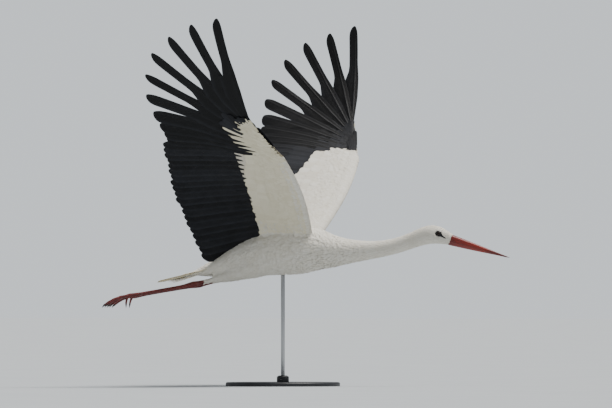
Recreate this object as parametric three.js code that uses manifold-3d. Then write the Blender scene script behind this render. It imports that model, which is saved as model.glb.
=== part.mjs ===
// A white stork in level flight, life size, held by one rod on a flat round base.
// Millimetres, +Z up, +X towards the bill, +Y to the bird's left.
// The origin is the middle of the base's underside, straight below the rod.
// The bird is drawn round the point midway between its shoulder joints, for its left side, and mirrored.
import * as THREE from "three";
import { mergeVertices } from "three/addons/utils/BufferGeometryUtils.js";
import Module from "manifold-3d";

const wasm = await Module();
wasm.setup();

const { lerp, clamp, smoothstep, degToRad } = THREE.MathUtils;

// ---- Driving dimensions ----
const GAP = 0.4; // clearance between neighbouring solids
const SHOULDERS = new THREE.Vector3(50, 0, 450); // midway between the shoulder joints, above the origin

const BILL_LENGTH = 186;
const BILL_BASE_DEPTH = 31;
const BILL_BASE_WIDTH = 22;
const HEAD_PITCH = degToRad(16); // the bill points this far below level
const EYE_RADIUS = 8.6;

const SHOULDER_OUT = 42; // shoulder joint from the middle plane
const ARM_RISE = degToRad(36); // slope of the raised arm
const BEND_START = 430; // distance out from the shoulder at which the wing begins to curve up
const BEND_RADIUS = 760;
const CAMBER = 0.055; // arch of a section, as a share of its chord
const TIP_CAMBER = 0.02;
const ROOT_DROOP = 62; // the rear of the wing root hangs this far below its plane
const ARM_THICKNESS = 36;
const WRIST_THICKNESS = 17;
const VANE_THICKNESS = 1.7;
const COVERT_SHARE = 0.46; // share of the arm's chord in front of the secondaries

const SECONDARIES = 20;
const NOTCH = 0.014; // depth of the notch between neighbouring feather tips, as a share of their length
const PRIMARIES = 10;
const FIRST_FINGER = 5; // this primary and those outside it part into fingers
const PRIMARY_SHORTEST = 330;
const PRIMARY_EXTRA = 70; // the longest primary is this much longer than the innermost
const LONGEST_PRIMARY = 6.9;
const INNER_SWEEP = degToRad(75); // of the innermost primary, back from straight out
const OUTER_SWEEP = degToRad(7);
const FINGER_WIDTH = 27;
const FINGER_LIFT = 20; // rise of the outermost tip above the curve of the wing

const TAIL_FEATHERS = 12;
const TAIL_LENGTH = 186;
const TARSUS_RADIUS = 5.2;
const CLAW_LENGTH = 9;

const BASE_RADIUS = 170;
const BASE_THICKNESS = 12;
const BOSS_RADIUS = 18;
const BOSS_HEIGHT = 20;
const ROD_RADIUS = 6;

// ---- Finishes ----
const finish = (color, roughness, metalness = 0) =>
  new THREE.MeshStandardMaterial({ color, roughness, metalness });
const WHITE_PLUMAGE = finish("#e9e4d6", 0.8);
const BLACK_PLUMAGE = finish("#15161a", 0.55);
const RED_HORN = finish("#b8341f", 0.4);
const RED_SCALES = finish("#b04432", 0.6);
const DARK_CLAW = finish("#2b211c", 0.5);
const DARK_EYE = finish("#120d0a", 0.1);
const PAINTED_STEEL = finish("#2a2b2e", 0.5, 0.4);
const BRUSHED_STEEL = finish("#b9bbbd", 0.3, 1);

// ---- Solids: closed three.js geometries, cut and joined ----
const vec = (x, y, z) => new THREE.Vector3(x, y, z);

// A closed geometry as a solid, its faces turned outwards whichever way a warp left them.
function solid(geometry) {
  const bare = new THREE.BufferGeometry();
  bare.setAttribute("position", geometry.getAttribute("position"));
  bare.setIndex(geometry.index);
  const merged = mergeVertices(bare, 1e-3);
  const triVerts = new Uint32Array(merged.index.array);
  const vertProperties = merged.attributes.position.array;
  const make = () => new wasm.Manifold(new wasm.Mesh({ numProp: 3, vertProperties, triVerts }));
  const made = make();
  if (made.volume() > 0) return made;
  for (let i = 0; i < triVerts.length; i += 3) {
    [triVerts[i + 1], triVerts[i + 2]] = [triVerts[i + 2], triVerts[i + 1]];
  }
  return make();
}

// The largest body of a solid, without the crumbs and sealed pockets that a cut or a join leaves.
const mainBody = (manifold) => manifold.decompose().sort((a, b) => b.volume() - a.volume())[0];

function geometryOf(manifold) {
  const mesh = mainBody(manifold).getMesh();
  const position = new Float32Array(mesh.numVert * 3);
  for (let i = 0; i < mesh.numVert; i++) {
    position.set(mesh.vertProperties.subarray(i * mesh.numProp, i * mesh.numProp + 3), i * 3);
  }
  const geometry = new THREE.BufferGeometry();
  geometry.setAttribute("position", new THREE.BufferAttribute(position, 3));
  geometry.setIndex(new THREE.BufferAttribute(mesh.triVerts, 1));
  geometry.computeVertexNormals();
  return geometry;
}

// Moves every corner of a geometry to map(corner).
function warped(geometry, map) {
  const position = geometry.getAttribute("position");
  const corner = new THREE.Vector3();
  for (let i = 0; i < position.count; i++) {
    const moved = map(corner.fromBufferAttribute(position, i));
    position.setXYZ(i, moved.x, moved.y, moved.z);
  }
  return geometry;
}

// A slab over the unit square, u and v from 0 to 1, whose two faces are at map(u, v, 1) and map(u, v, -1).
const slab = (uSteps, vSteps, map) =>
  solid(warped(new THREE.BoxGeometry(1, 1, 2, uSteps, vSteps, 1), ({ x, y, z }) => map(x + 0.5, y + 0.5, z)));

// A closed body of oval rings round a smooth spine. Each station has its centre, at, its half width, side,
// and its reach above and below the centre. margin lets it out evenly, so that what it cuts keeps its distance.
function sweep(stations, around, along, margin = 0) {
  const spine = new THREE.CatmullRomCurve3(stations.map((s) => vec(...s.at)));
  const reach = new THREE.CatmullRomCurve3(stations.map((s) => vec(s.side, s.above, s.below)));
  return solid(
    warped(new THREE.CylinderGeometry(1, 1, 1, around, along), ({ x, y, z }) => {
      const t = clamp(y + 0.5, 0, 1);
      const forward = spine.getTangent(t);
      const across = vec(0, 0, 1).cross(forward).normalize();
      const up = forward.clone().cross(across);
      const size = reach.getPoint(t).addScalar(margin);
      const end = t === 1 ? margin : t === 0 ? -margin : 0;
      return spine
        .getPoint(t)
        .addScaledVector(across, x * size.x)
        .addScaledVector(up, z * (z > 0 ? size.y : size.z))
        .addScaledVector(forward, end);
    }),
  );
}

// A round spine, for toes, claws and other thin limbs, from [point, radius] pairs.
const limb = (points, around, along) =>
  sweep(points.map(([at, radius]) => ({ at, side: radius, above: radius, below: radius })), around, along);

// Parts a solid with a thin cut through a point: [what lies towards normal, what lies behind].
function part(manifold, point, normal) {
  const n = normal.clone().normalize();
  const offset = n.dot(point);
  const towards = manifold.trimByPlane([n.x, n.y, n.z], offset + GAP / 2);
  const behind = manifold.trimByPlane([-n.x, -n.y, -n.z], -offset + GAP / 2);
  return [towards, behind];
}

// ---- Trunk, neck and head: one body, parted ----
const BODY = [
  { at: [-335, 0, -116], side: 30, above: 3, below: 4 },
  { at: [-300, 0, -108], side: 38, above: 14, below: 16 },
  { at: [-255, 0, -97], side: 46, above: 28, below: 30 },
  { at: [-205, 0, -83], side: 58, above: 46, below: 44 },
  { at: [-150, 0, -68], side: 70, above: 63, below: 58 },
  { at: [-80, 0, -52], side: 80, above: 76, below: 71 },
  { at: [-10, 0, -42], side: 83, above: 76, below: 77 },
  { at: [50, 0, -40], side: 75, above: 63, below: 69 },
  { at: [100, 0, -45], side: 58, above: 48, below: 55 },
  { at: [150, 0, -47], side: 43, above: 36, below: 41 },
  { at: [200, 0, -46], side: 33, above: 29, below: 32 },
  { at: [255, 0, -42], side: 27, above: 25, below: 26 },
  { at: [310, 0, -31], side: 24, above: 23, below: 24 },
  { at: [355, 0, -17], side: 24, above: 24.5, below: 24 },
  { at: [387, 0, -6], side: 26, above: 27.5, below: 26 },
  { at: [412, 0, -1], side: 28, above: 29.5, below: 27 },
  { at: [437, 0, -3], side: 26.5, above: 27, below: 25 },
  { at: [461, 0, -10], side: 19, above: 20.5, below: 20 },
  { at: [486, 0, -19], side: 11.5, above: 15, below: 15.5 },
];
const BILL_ROOT = vec(478, 0, -17);
const ALONG_BILL = vec(Math.cos(HEAD_PITCH), 0, -Math.sin(HEAD_PITCH));
const ABOVE_BILL = vec(Math.sin(HEAD_PITCH), 0, Math.cos(HEAD_PITCH));
const EYE = vec(443, 17.6, 2.5);

const whole = sweep(BODY, 18, 44);
const roundBody = sweep(BODY, 18, 44, 1.5 * GAP); // cuts whatever grows from the body
const [ahead, trunkSolid] = part(whole, vec(132, 0, -46), vec(1, 0, -0.2));
const [upperAndHead, neckLower] = part(ahead, vec(252, 0, -42), vec(1, 0, 0.08));
const [headAndTip, neckUpper] = part(upperAndHead, vec(380, 0, -8), vec(1, 0, 0.4));
const bareHead = part(headAndTip, BILL_ROOT, ALONG_BILL)[1];

const ball = (radius, side) =>
  solid(new THREE.SphereGeometry(radius, 12, 8).translate(EYE.x, side * EYE.y, EYE.z));
const headSolid = bareHead.subtract(ball(EYE_RADIUS + GAP, 1)).subtract(ball(EYE_RADIUS + GAP, -1));

// ---- Bill: one tapered spear, parted along the gape ----
function billStation(share, thickness) {
  const at = BILL_ROOT.clone().addScaledVector(ALONG_BILL, GAP + share * BILL_LENGTH);
  const half = (thickness * BILL_BASE_DEPTH) / 2;
  return { at: at.toArray(), side: (thickness * BILL_BASE_WIDTH) / 2, above: half, below: half };
}
const TAPER = [1, 0.84, 0.66, 0.45, 0.24, 0.06];
const billWhole = sweep(TAPER.map((size, i) => billStation(i / (TAPER.length - 1), size)), 14, 10);
const GAPE = BILL_ROOT.clone().addScaledVector(ABOVE_BILL, -2.5);
const GAPE_NORMAL = ABOVE_BILL.clone().addScaledVector(ALONG_BILL, -0.014);
const [billUpper, billLower] = part(billWhole, GAPE, GAPE_NORMAL);

// ---- Wing: drawn spread flat, as distance out from the shoulder and distance forward, and then raised ----
const WRIST = new THREE.Vector2(395, 52);
const HAND_TIP = new THREE.Vector2(556, 4);

function raised(out, forward, over) {
  const slope = ARM_RISE + Math.max(0, out - BEND_START) / BEND_RADIUS;
  const straight = Math.min(out, BEND_START);
  const y = straight * Math.cos(ARM_RISE) + BEND_RADIUS * (Math.sin(slope) - Math.sin(ARM_RISE));
  const z = straight * Math.sin(ARM_RISE) + BEND_RADIUS * (Math.cos(ARM_RISE) - Math.cos(slope));
  return vec(forward, SHOULDER_OUT + y - over * Math.sin(slope), z + over * Math.cos(slope));
}

// Half thickness of a section at share c of its chord: a round nose, muscle behind it, and then bare vanes.
function halfThickness(c, greatest) {
  const nose = Math.sqrt(1 - (1 - Math.min(1, c / 0.12)) ** 2);
  return Math.max((greatest / 2) * nose * (1 - smoothstep(c, 0.14, 0.6)), VANE_THICKNESS / 2);
}
const arch = (c, height) => 4 * height * c * (1 - c);

// The arm's sections run from its front edge to the tips of its secondaries. u runs from root to wrist.
const armFront = (u) => new THREE.Vector2(lerp(-25, 378, u), 52 + 30 * Math.sin(2.35 * u));
const armRear = (u) => new THREE.Vector2(lerp(-38, 466, u), -284 - 28 * Math.sin(Math.PI * u));
function armPoint(u, c, side) {
  const front = armFront(u);
  const flat = front.clone().lerp(armRear(u), c);
  const chord = front.y - armRear(u).y;
  const droop = ROOT_DROOP * c * (1 - u) ** 2;
  const thickness = lerp(ARM_THICKNESS, WRIST_THICKNESS, u);
  return raised(flat.x, flat.y, arch(c, CAMBER * chord) - droop + side * halfThickness(c, thickness));
}
const COVERT_GAP = GAP / 2 / 340; // half the clearance as a share of the chord, which is about 340 mm
const secondaryTip = (u) => 1 - NOTCH * Math.abs(Math.cos(Math.PI * SECONDARIES * u));
const armSolid = slab(12, 6, (u, v, side) => armPoint(u, (COVERT_SHARE - COVERT_GAP) * v * v, side));
const secondariesSolid = slab(2 * SECONDARIES, 2, (u, v, side) =>
  armPoint(u, lerp(COVERT_SHARE + COVERT_GAP, v < 1 ? 1 : secondaryTip(u), v), side),
);

// The middle line of primary k, from 1 at the wrist to PRIMARIES at the hand's tip. t runs from quill to tip.
function primaryPoint(k, t, aside = 0) {
  const share = (k - 1) / (PRIMARIES - 1);
  const sweepBack = lerp(INNER_SWEEP, OUTER_SWEEP, Math.max(0, share) ** 1.85);
  const length = PRIMARY_SHORTEST + PRIMARY_EXTRA * Math.exp(-(((k - LONGEST_PRIMARY) / 2.6) ** 2));
  const direction = new THREE.Vector2(Math.cos(sweepBack), -Math.sin(sweepBack));
  const across = new THREE.Vector2(-direction.y, direction.x);
  const quill = WRIST.clone().lerp(HAND_TIP, share);
  return quill.addScaledVector(direction, length * t).addScaledVector(across, aside);
}
const fingerRise = (k, t) => (FINGER_LIFT * Math.max(0, k - 4) * t * t) / (PRIMARIES - 4);
function handRise(k, t) {
  const share = clamp((k - 1) / (PRIMARIES - 1), 0, 1);
  return arch(clamp(t, 0, 1), lerp(CAMBER, TIP_CAMBER, share) * PRIMARY_SHORTEST) + fingerRise(k, t);
}

// The web of overlapping vanes, from the hand's front edge to where the fingers part, or to the inner tips.
function webPoint(kShare, tShare, side) {
  const k = lerp(-0.8, PRIMARIES + 0.25, kShare);
  const tip = 1 - NOTCH * Math.abs(Math.sin(Math.PI * k));
  const end = lerp(tip, 0.47, smoothstep(k, FIRST_FINGER - 1.4, FIRST_FINGER + 0.7));
  const t = lerp(-0.055, end, tShare);
  const flat = primaryPoint(k, t);
  const muscle = lerp(WRIST_THICKNESS * 0.8, 8, kShare) * (1 - smoothstep(t, 0, 0.35));
  const nose = Math.sqrt(1 - (1 - Math.min(1, tShare / 0.1)) ** 2);
  const half = Math.max((muscle / 2) * nose, 0.4 + VANE_THICKNESS / 2);
  return raised(flat.x, flat.y, handRise(k, t) + side * half);
}

function finger(k) {
  const start = 0.4;
  return slab(7, 1, (u, v, side) => {
    const t = lerp(start, 1, Math.sin((u * Math.PI) / 2));
    const round = Math.sqrt(Math.max(0.03, 1 - clamp((t - 0.88) / 0.12, 0, 1) ** 2));
    const flat = primaryPoint(k, t, (v - 0.7) * FINGER_WIDTH * round);
    return raised(flat.x, flat.y, handRise(k, t) + (side * VANE_THICKNESS) / 2);
  });
}
const fingerNumbers = Array.from({ length: PRIMARIES - FIRST_FINGER + 1 }, (_, i) => FIRST_FINGER + i);
const web = slab(20, 4, webPoint);
const handWhole = fingerNumbers.reduce((all, k) => all.add(finger(k)), web);

// The hand ends at the arm's last section.
const lastFront = raised(armFront(1).x, armFront(1).y, 0);
const lastRear = raised(armRear(1).x, armRear(1).y, 0);
const overArm = raised(0, 0, 1).sub(raised(0, 0, 0));
const outOfArm = lastRear.clone().sub(lastFront).cross(overArm).normalize();
outOfArm.multiplyScalar(Math.sign(outOfArm.y));
const handSolid = part(handWhole, lastFront.clone().addScaledVector(outOfArm, 1.5 * GAP), outOfArm)[0];

// ---- Tail: a fan of feathers as one scalloped sheet ----
function tailPoint(across, t, side) {
  const v = 2 * across - 1;
  const notch = 2 * NOTCH * Math.abs(Math.cos(across * TAIL_FEATHERS * Math.PI));
  const length = TAIL_LENGTH * (1 - 0.07 * v * v - notch);
  const roof = -7 * v * v * (0.4 + t);
  return vec(-247 - length * t, v * lerp(26, 80, t), -94 - 44 * t + roof + side * lerp(4, 1, t));
}
const tailSolid = slab(2 * TAIL_FEATHERS, 3, tailPoint).subtract(roundBody);

// ---- Legs, trailing below the tail ----
const THIGH_END = [-262, 33, -135];
const ANKLE = [-322, 29, -148];
const TOE_ROOT = [-524, 24, -182];
const thighSolid = sweep(
  [
    { at: [-105, 44, -90], side: 30, above: 30, below: 30 },
    { at: [-150, 42, -103], side: 27, above: 28, below: 29 },
    { at: [-200, 38, -118], side: 20, above: 19, below: 20 },
    { at: [-238, 35, -129], side: 13, above: 13, below: 13 },
    { at: THIGH_END, side: 9, above: 9, below: 9 },
  ],
  12,
  8,
).subtract(roundBody);

const shank = limb(
  [
    [[THIGH_END[0] - GAP, THIGH_END[1], THIGH_END[2]], 6.4],
    [[-284, 31.5, -140], 6],
    [[-306, 30, -144.5], 7.6],
    [ANKLE, 9.6],
    [[-340, 28.5, -151.6], 7.4],
    [[-368, 28, -156.4], TARSUS_RADIUS],
    [[-445, 26, -169], TARSUS_RADIUS - 0.2],
    [[-502, 24.5, -178.4], TARSUS_RADIUS + 0.4],
    [TOE_ROOT, 8],
  ],
  8,
  16,
);

// Each toe leaves the end of the tarsus, turned sideways and down, and curls a little more towards its tip.
const TOES = [
  { name: "middle", aside: 0, turn: 0.02, droop: 0.07, length: 80, radius: 5 },
  { name: "inner", aside: -3, turn: 0.13, droop: 0.16, length: 62, radius: 4.6 },
  { name: "outer", aside: 3, turn: -0.1, droop: 0.12, length: 68, radius: 4.6 },
  { name: "hind", aside: -2, turn: 0.2, droop: 0.95, length: 26, radius: 4.2 },
];
function toePoint(toe, share) {
  const sag = toe.droop + 0.28 * share;
  const reach = toe.length * share;
  const aside = toe.aside - reach * Math.sin(toe.turn);
  return [TOE_ROOT[0] - 5 - reach * Math.cos(sag), TOE_ROOT[1] + aside, TOE_ROOT[2] - reach * Math.sin(sag)];
}
const toeSolid = (toe) =>
  limb([0, 0.33, 0.67, 1].map((share) => [toePoint(toe, share), toe.radius * (1 - 0.35 * share)]), 6, 4);
const [toeKnuckle, shankSolid] = part(shank, vec(...TOE_ROOT).add(vec(7, 0, 0)), vec(-1, 0, 0));
const footSolid = TOES.reduce((all, toe) => all.add(toeSolid(toe)), toeKnuckle);

function clawSolid(toe) {
  const tip = vec(...toePoint(toe, 1));
  const direction = tip.clone().sub(vec(...toePoint(toe, 0.9))).normalize();
  const points = [0, 0.5, 1].map((share) => {
    const at = tip.clone().addScaledVector(direction, 2 * GAP + CLAW_LENGTH * share);
    at.z -= 2.5 * share * share;
    return [at.toArray(), toe.radius * 0.6 * (1 - 0.85 * share)];
  });
  return limb(points, 6, 2);
}

// ---- Stand: a round steel base, a boss and a rod up to the belly ----
const upright = (geometry) => geometry.rotateX(Math.PI / 2);
const turned = (outline, segments) =>
  solid(upright(new THREE.LatheGeometry(outline.map(([r, z]) => new THREE.Vector2(r, z)), segments)));
const BOSS_FOOT = BASE_THICKNESS + GAP;
const BOSS_TOP = BASE_THICKNESS + BOSS_HEIGHT;
const baseSolid = turned(
  [
    [0, 0],
    [BASE_RADIUS, 0],
    [BASE_RADIUS, BASE_THICKNESS - 3],
    [BASE_RADIUS - 3, BASE_THICKNESS],
    [0, BASE_THICKNESS],
  ],
  40,
);
const bossSolid = turned(
  [
    [0, BOSS_FOOT],
    [BOSS_RADIUS, BOSS_FOOT],
    [BOSS_RADIUS, BOSS_TOP - 4],
    [BOSS_RADIUS - 6, BOSS_TOP],
    [0, BOSS_TOP],
  ],
  16,
);
const rodFoot = BOSS_TOP + GAP;
const BELLY = 60; // the rod is drawn to this far below the shoulders and cut where it meets the belly
const rodLength = SHOULDERS.z - rodFoot - BELLY;
const rod = upright(new THREE.CylinderGeometry(ROD_RADIUS, ROD_RADIUS, rodLength, 12));
const rodSolid = solid(rod.translate(0, 0, rodFoot + rodLength / 2)).subtract(
  roundBody.translate(SHOULDERS.toArray()),
);

// ---- The model ----
const model = new THREE.Group();
const bird = new THREE.Group();
bird.position.copy(SHOULDERS);
model.add(bird);

function place(group, name, manifold, material) {
  const mesh = new THREE.Mesh(geometryOf(manifold), material);
  mesh.name = name;
  group.add(mesh);
}

place(bird, "trunk", trunkSolid, WHITE_PLUMAGE);
place(bird, "neck_lower", neckLower, WHITE_PLUMAGE);
place(bird, "neck_upper", neckUpper, WHITE_PLUMAGE);
place(bird, "head", headSolid, WHITE_PLUMAGE);
place(bird, "bill_upper", billUpper, RED_HORN);
place(bird, "bill_lower", billLower, RED_HORN);
place(bird, "tail", tailSolid, WHITE_PLUMAGE);

for (const [side, mirror] of [["left", 1], ["right", -1]]) {
  const half = new THREE.Group();
  half.scale.y = mirror;
  bird.add(half);
  place(half, `eye_${side}`, ball(EYE_RADIUS, 1), DARK_EYE);
  place(half, `wing_${side}_arm`, armSolid.subtract(roundBody), WHITE_PLUMAGE);
  place(half, `wing_${side}_secondaries`, secondariesSolid.subtract(roundBody), BLACK_PLUMAGE);
  place(half, `wing_${side}_hand`, handSolid, BLACK_PLUMAGE);
  place(half, `thigh_${side}`, thighSolid, WHITE_PLUMAGE);
  place(half, `leg_${side}`, shankSolid, RED_SCALES);
  place(half, `foot_${side}`, footSolid, RED_SCALES);
  for (const toe of TOES) place(half, `claw_${side}_${toe.name}`, clawSolid(toe), DARK_CLAW);
}

place(model, "stand_base", baseSolid, PAINTED_STEEL);
place(model, "stand_boss", bossSolid, PAINTED_STEEL);
place(model, "stand_rod", rodSolid, BRUSHED_STEEL);

export default model;
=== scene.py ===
import math

import bmesh
import bpy
import numpy as np
from mathutils import Matrix, Vector
from mathutils.bvhtree import BVHTree
from mathutils.kdtree import KDTree


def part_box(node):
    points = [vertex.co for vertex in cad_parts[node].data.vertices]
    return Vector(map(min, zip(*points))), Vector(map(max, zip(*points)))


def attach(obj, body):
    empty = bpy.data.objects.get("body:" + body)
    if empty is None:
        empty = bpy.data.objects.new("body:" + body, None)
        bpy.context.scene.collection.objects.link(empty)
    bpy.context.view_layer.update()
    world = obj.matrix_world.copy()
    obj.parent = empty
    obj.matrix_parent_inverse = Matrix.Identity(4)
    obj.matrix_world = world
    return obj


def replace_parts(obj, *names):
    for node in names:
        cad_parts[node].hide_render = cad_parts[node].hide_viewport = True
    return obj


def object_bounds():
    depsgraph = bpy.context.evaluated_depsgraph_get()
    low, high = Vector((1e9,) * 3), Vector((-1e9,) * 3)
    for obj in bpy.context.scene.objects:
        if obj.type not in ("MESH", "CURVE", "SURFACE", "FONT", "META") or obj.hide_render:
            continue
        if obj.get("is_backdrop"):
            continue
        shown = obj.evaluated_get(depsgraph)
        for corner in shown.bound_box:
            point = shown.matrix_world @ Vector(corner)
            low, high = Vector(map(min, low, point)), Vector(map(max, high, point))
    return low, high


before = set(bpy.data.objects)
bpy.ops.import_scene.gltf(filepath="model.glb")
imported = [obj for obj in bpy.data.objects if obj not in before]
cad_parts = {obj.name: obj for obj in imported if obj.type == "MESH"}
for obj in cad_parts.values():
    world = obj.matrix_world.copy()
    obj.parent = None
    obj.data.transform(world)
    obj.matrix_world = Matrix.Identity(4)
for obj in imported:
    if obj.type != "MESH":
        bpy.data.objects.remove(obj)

cad_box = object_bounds()
chance = np.random.default_rng(7)

# ---- Stand: a round plate of mild steel with a turned boss screwed to its middle ----
# Both are powder coated dark grey. A grub screw in the boss holds the rod's foot.


def colour(code):
    """An sRGB hex colour as the linear colour that a socket takes."""
    parts = [int(code[i : i + 2], 16) / 255 for i in (1, 3, 5)]
    return [p / 12.92 if p <= 0.04045 else ((p + 0.055) / 1.055) ** 2.4 for p in parts] + [1]


def new_finish(name):
    """A new material, and the places on its piece in metres, which its patterns are laid by."""
    material = bpy.data.materials.new(name)
    material.use_nodes = True
    material.node_tree.nodes.clear()
    return material, add(material, "TexCoord")["Object"]


def add(material, kind, **settings):
    """Adds a node and gives back its outputs. A setting is one of its properties, or an input's value, or an
    output to link to that input. i6 is the input with that number, and stops are a ramp's (tone, hex)."""
    tree = material.node_tree
    node = tree.nodes.new("ShaderNode" + kind)
    for name, value in settings.items():
        if name == "stops":
            ramp = node.color_ramp.elements
            for stop, (place, tint) in zip((ramp[0], ramp[-1]), (value[0], value[-1])):
                stop.position, stop.color = place, colour(tint)
            for place, tint in value[1:-1]:
                ramp.new(place).color = colour(tint)
        elif hasattr(node, name):
            setattr(node, name, value)
        else:
            numbered = name[0] == "i" and name[1:].isdigit()
            socket = node.inputs[int(name[1:]) if numbered else name.replace("_", " ")]
            if isinstance(value, bpy.types.NodeSocket):
                tree.links.new(value, socket)
            else:
                socket.default_value = value
    return node.outputs


def noise(material, place, scale, detail, **settings):
    """Cloudy noise, scale to the metre."""
    return add(material, "TexNoise", Vector=place, Scale=scale, Detail=detail, **settings)["Fac"]


def tinted(material, tone, *stops):
    """The colours that a tone from 0 to 1 runs through, as (tone, sRGB hex) stops."""
    return add(material, "ValToRGB", Fac=tone, stops=stops)["Color"]


def between(material, value, **ends):
    """A value drawn out or in from one range to another."""
    return add(material, "MapRange", Value=value, **ends)["Result"]


def surface(material, tint, **settings):
    """Ends a finish: the shader that takes its tint."""
    shader = add(material, "BsdfPrincipled", Base_Color=tint, **settings)
    add(material, "OutputMaterial", Surface=shader[0])


def put(name, data):
    """A new object in the scene."""
    thing = bpy.data.objects.new(name, data)
    bpy.context.scene.collection.objects.link(thing)
    return thing


def make_piece(name, mesh, material, slot, *nodes):
    """Puts a finished mesh in the scene, riding on the body and standing for the CAD nodes."""
    piece = put(name, mesh)
    mesh.materials.append(material)
    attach(piece, "root")
    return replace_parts(piece, *nodes)


def mesh_of(bm, crease=35):
    """The mesh of a bmesh, smooth but for edges sharper than the crease, in degrees."""
    mesh = bpy.data.meshes.new("shape")
    bm.to_mesh(mesh)
    bm.free()
    mesh.shade_smooth()
    mesh.set_sharp_from_angle(angle=math.radians(crease))
    return mesh


def turned(outline, steps=96):
    """An outline of (radius, height) corners turned once round the upright axis."""
    bm = bmesh.new()
    corners = [bm.verts.new((radius, 0, height)) for radius, height in outline]
    edges = [bm.edges.new(pair) for pair in zip(corners, corners[1:])]
    bmesh.ops.spin(bm, geom=corners + edges, axis=(0, 0, 1), angle=math.tau, steps=steps, use_merge=True)
    bmesh.ops.remove_doubles(bm, verts=bm.verts, dist=1e-6)
    bmesh.ops.recalc_face_normals(bm, faces=bm.faces)
    return bm


def eased(bm, sharper_than, size):
    """Rounds the edges that turn by more than an angle in degrees."""
    limit = math.radians(sharper_than)
    edges = [e for e in bm.edges if len(e.link_faces) == 2 and e.calc_face_angle() > limit]
    bmesh.ops.bevel(bm, geom=edges, affect="EDGES", offset=size, segments=3, profile=0.5, material=-1,
                    clamp_overlap=True)
    return bm


# Powder coat: a plastic skin baked on steel, so it is satin, with a faint orange peel about 1.5 mm across.
powder_coat, place = new_finish("powder_coated_steel")
peel = noise(powder_coat, place, 650, 2)
dust = noise(powder_coat, place, 14, 5, Roughness=0.6)
coat_tint = tinted(powder_coat, dust, (0.35, "#26272a"), (0.7, "#33353a"))
coat_gloss = between(powder_coat, dust, To_Min=0.38, To_Max=0.52)
grain = add(powder_coat, "Bump", Height=peel, Strength=0.12, Distance=0.0003)["Normal"]
surface(powder_coat, coat_tint, Roughness=coat_gloss, Normal=grain, IOR=1.5)

# The plate's underside is hollowed by RECESS inside a flat rim, so that it stands on the rim.
RIM = 0.014
RECESS = 0.001
PLATE_CHAMFER = 0.003
plate_radius, _, plate_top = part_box("stand_base")[1]
plate = turned([(0, RECESS), (plate_radius - RIM - 0.002, RECESS), (plate_radius - RIM, 0),
                (plate_radius - RECESS, 0), (plate_radius, RECESS), (plate_radius, plate_top - PLATE_CHAMFER),
                (plate_radius - PLATE_CHAMFER, plate_top), (0, plate_top)], steps=160)
make_piece("stand_plate", mesh_of(eased(plate, 30, 0.0008)), powder_coat, "stand_paint", "stand_base")

SOCKET = 0.004
BOSS_CHAMFER = 0.006
boss_radius, _, boss_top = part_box("stand_boss")[1]
rod_radius, _, rod_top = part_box("stand_rod")[1]
bore = rod_radius + 0.0002
boss = turned([(0, plate_top), (boss_radius, plate_top), (boss_radius, boss_top - SOCKET),
               (boss_radius - BOSS_CHAMFER, boss_top), (bore, boss_top), (bore, boss_top - SOCKET),
               (0, boss_top - SOCKET)], steps=72)
make_piece("stand_boss_turned", mesh_of(eased(boss, 30, 0.0007)), powder_coat, "stand_paint", "stand_boss")

# A socket screw, 6 mm across, its head just proud of the boss on the bird's right.
screw = bmesh.new()
bmesh.ops.create_cone(screw, cap_ends=True, segments=24, radius1=0.003, radius2=0.003, depth=0.006)
screw_head = max(screw.faces, key=lambda face: face.calc_center_median().z)
bmesh.ops.inset_individual(screw, faces=[screw_head], thickness=0.0012)
bmesh.ops.translate(screw, verts=screw_head.verts, vec=(0, 0, -0.002))
bmesh.ops.rotate(screw, verts=screw.verts, matrix=Matrix.Rotation(math.radians(90), 3, "X"))
bmesh.ops.translate(screw, verts=screw.verts, vec=(0, 0.0022 - boss_radius, (plate_top + boss_top) / 2))

# ---- Stand rod: a bright drawn steel bar, its lower end in the boss and its upper end in the belly ----
# The grub screw that clamps it is of the same steel.

# Drawn steel: bright metal with fine lines along the bar, about 1 mm apart, that break up its highlight.
drawn_steel, place = new_finish("drawn_steel")
lines = add(drawn_steel, "Mapping", Vector=place, Scale=(900, 900, 6))["Vector"]
scratches = noise(drawn_steel, lines, 1, 3)
steel_gloss = between(drawn_steel, scratches, To_Min=0.22, To_Max=0.42)
steel_tint = tinted(drawn_steel, scratches, (0.3, "#a9abad"), (0.75, "#c9cbcc"))
grain = add(drawn_steel, "Bump", Height=scratches, Strength=0.15, Distance=0.0001)["Normal"]
surface(drawn_steel, steel_tint, Metallic=1, Roughness=steel_gloss, Normal=grain)

# It runs on 12 mm into the belly, past the end of its solid, so that no feather uncovers its end.
rod_foot = boss_top - SOCKET
rod_end = rod_top + 0.012
rod = bmesh.new()
bmesh.ops.create_cone(rod, cap_ends=True, segments=48, radius1=rod_radius, radius2=rod_radius,
                      depth=rod_end - rod_foot, matrix=Matrix.Translation((0, 0, (rod_end + rod_foot) / 2)))
make_piece("stand_rod_bar", mesh_of(eased(rod, 60, 0.0005)), drawn_steel, "stand_rod", "stand_rod")
make_piece("stand_grub_screw", mesh_of(screw), drawn_steel, "stand_rod")

# ---- Skin: one cast skin over trunk, neck, head, thighs and wing bones, under the feathers ----
# Its outline is the coat's. The skin lies inside that by the depth of the feathers, least on the face, and
# reaches it where it is bare. Places on the bird are given from shoulders, midway between the wings' roots.
FLESH = ["trunk", "neck_lower", "neck_upper", "head", "thigh_left", "thigh_right",
         "wing_left_arm", "wing_right_arm"]
eye_low, eye_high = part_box("eye_left")
eye = (eye_low + eye_high) / 2
shoulders = eye - Vector((0.443, 0.0176, 0.0025))

# Only the front of each glass eye shows. It sits EYE_SUNK inside its solid, behind its lids.
EYE_SUNK = 0.0012
eye_radius = 0.0075
eye_centre = eye_high.y - EYE_SUNK - eye_radius

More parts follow.
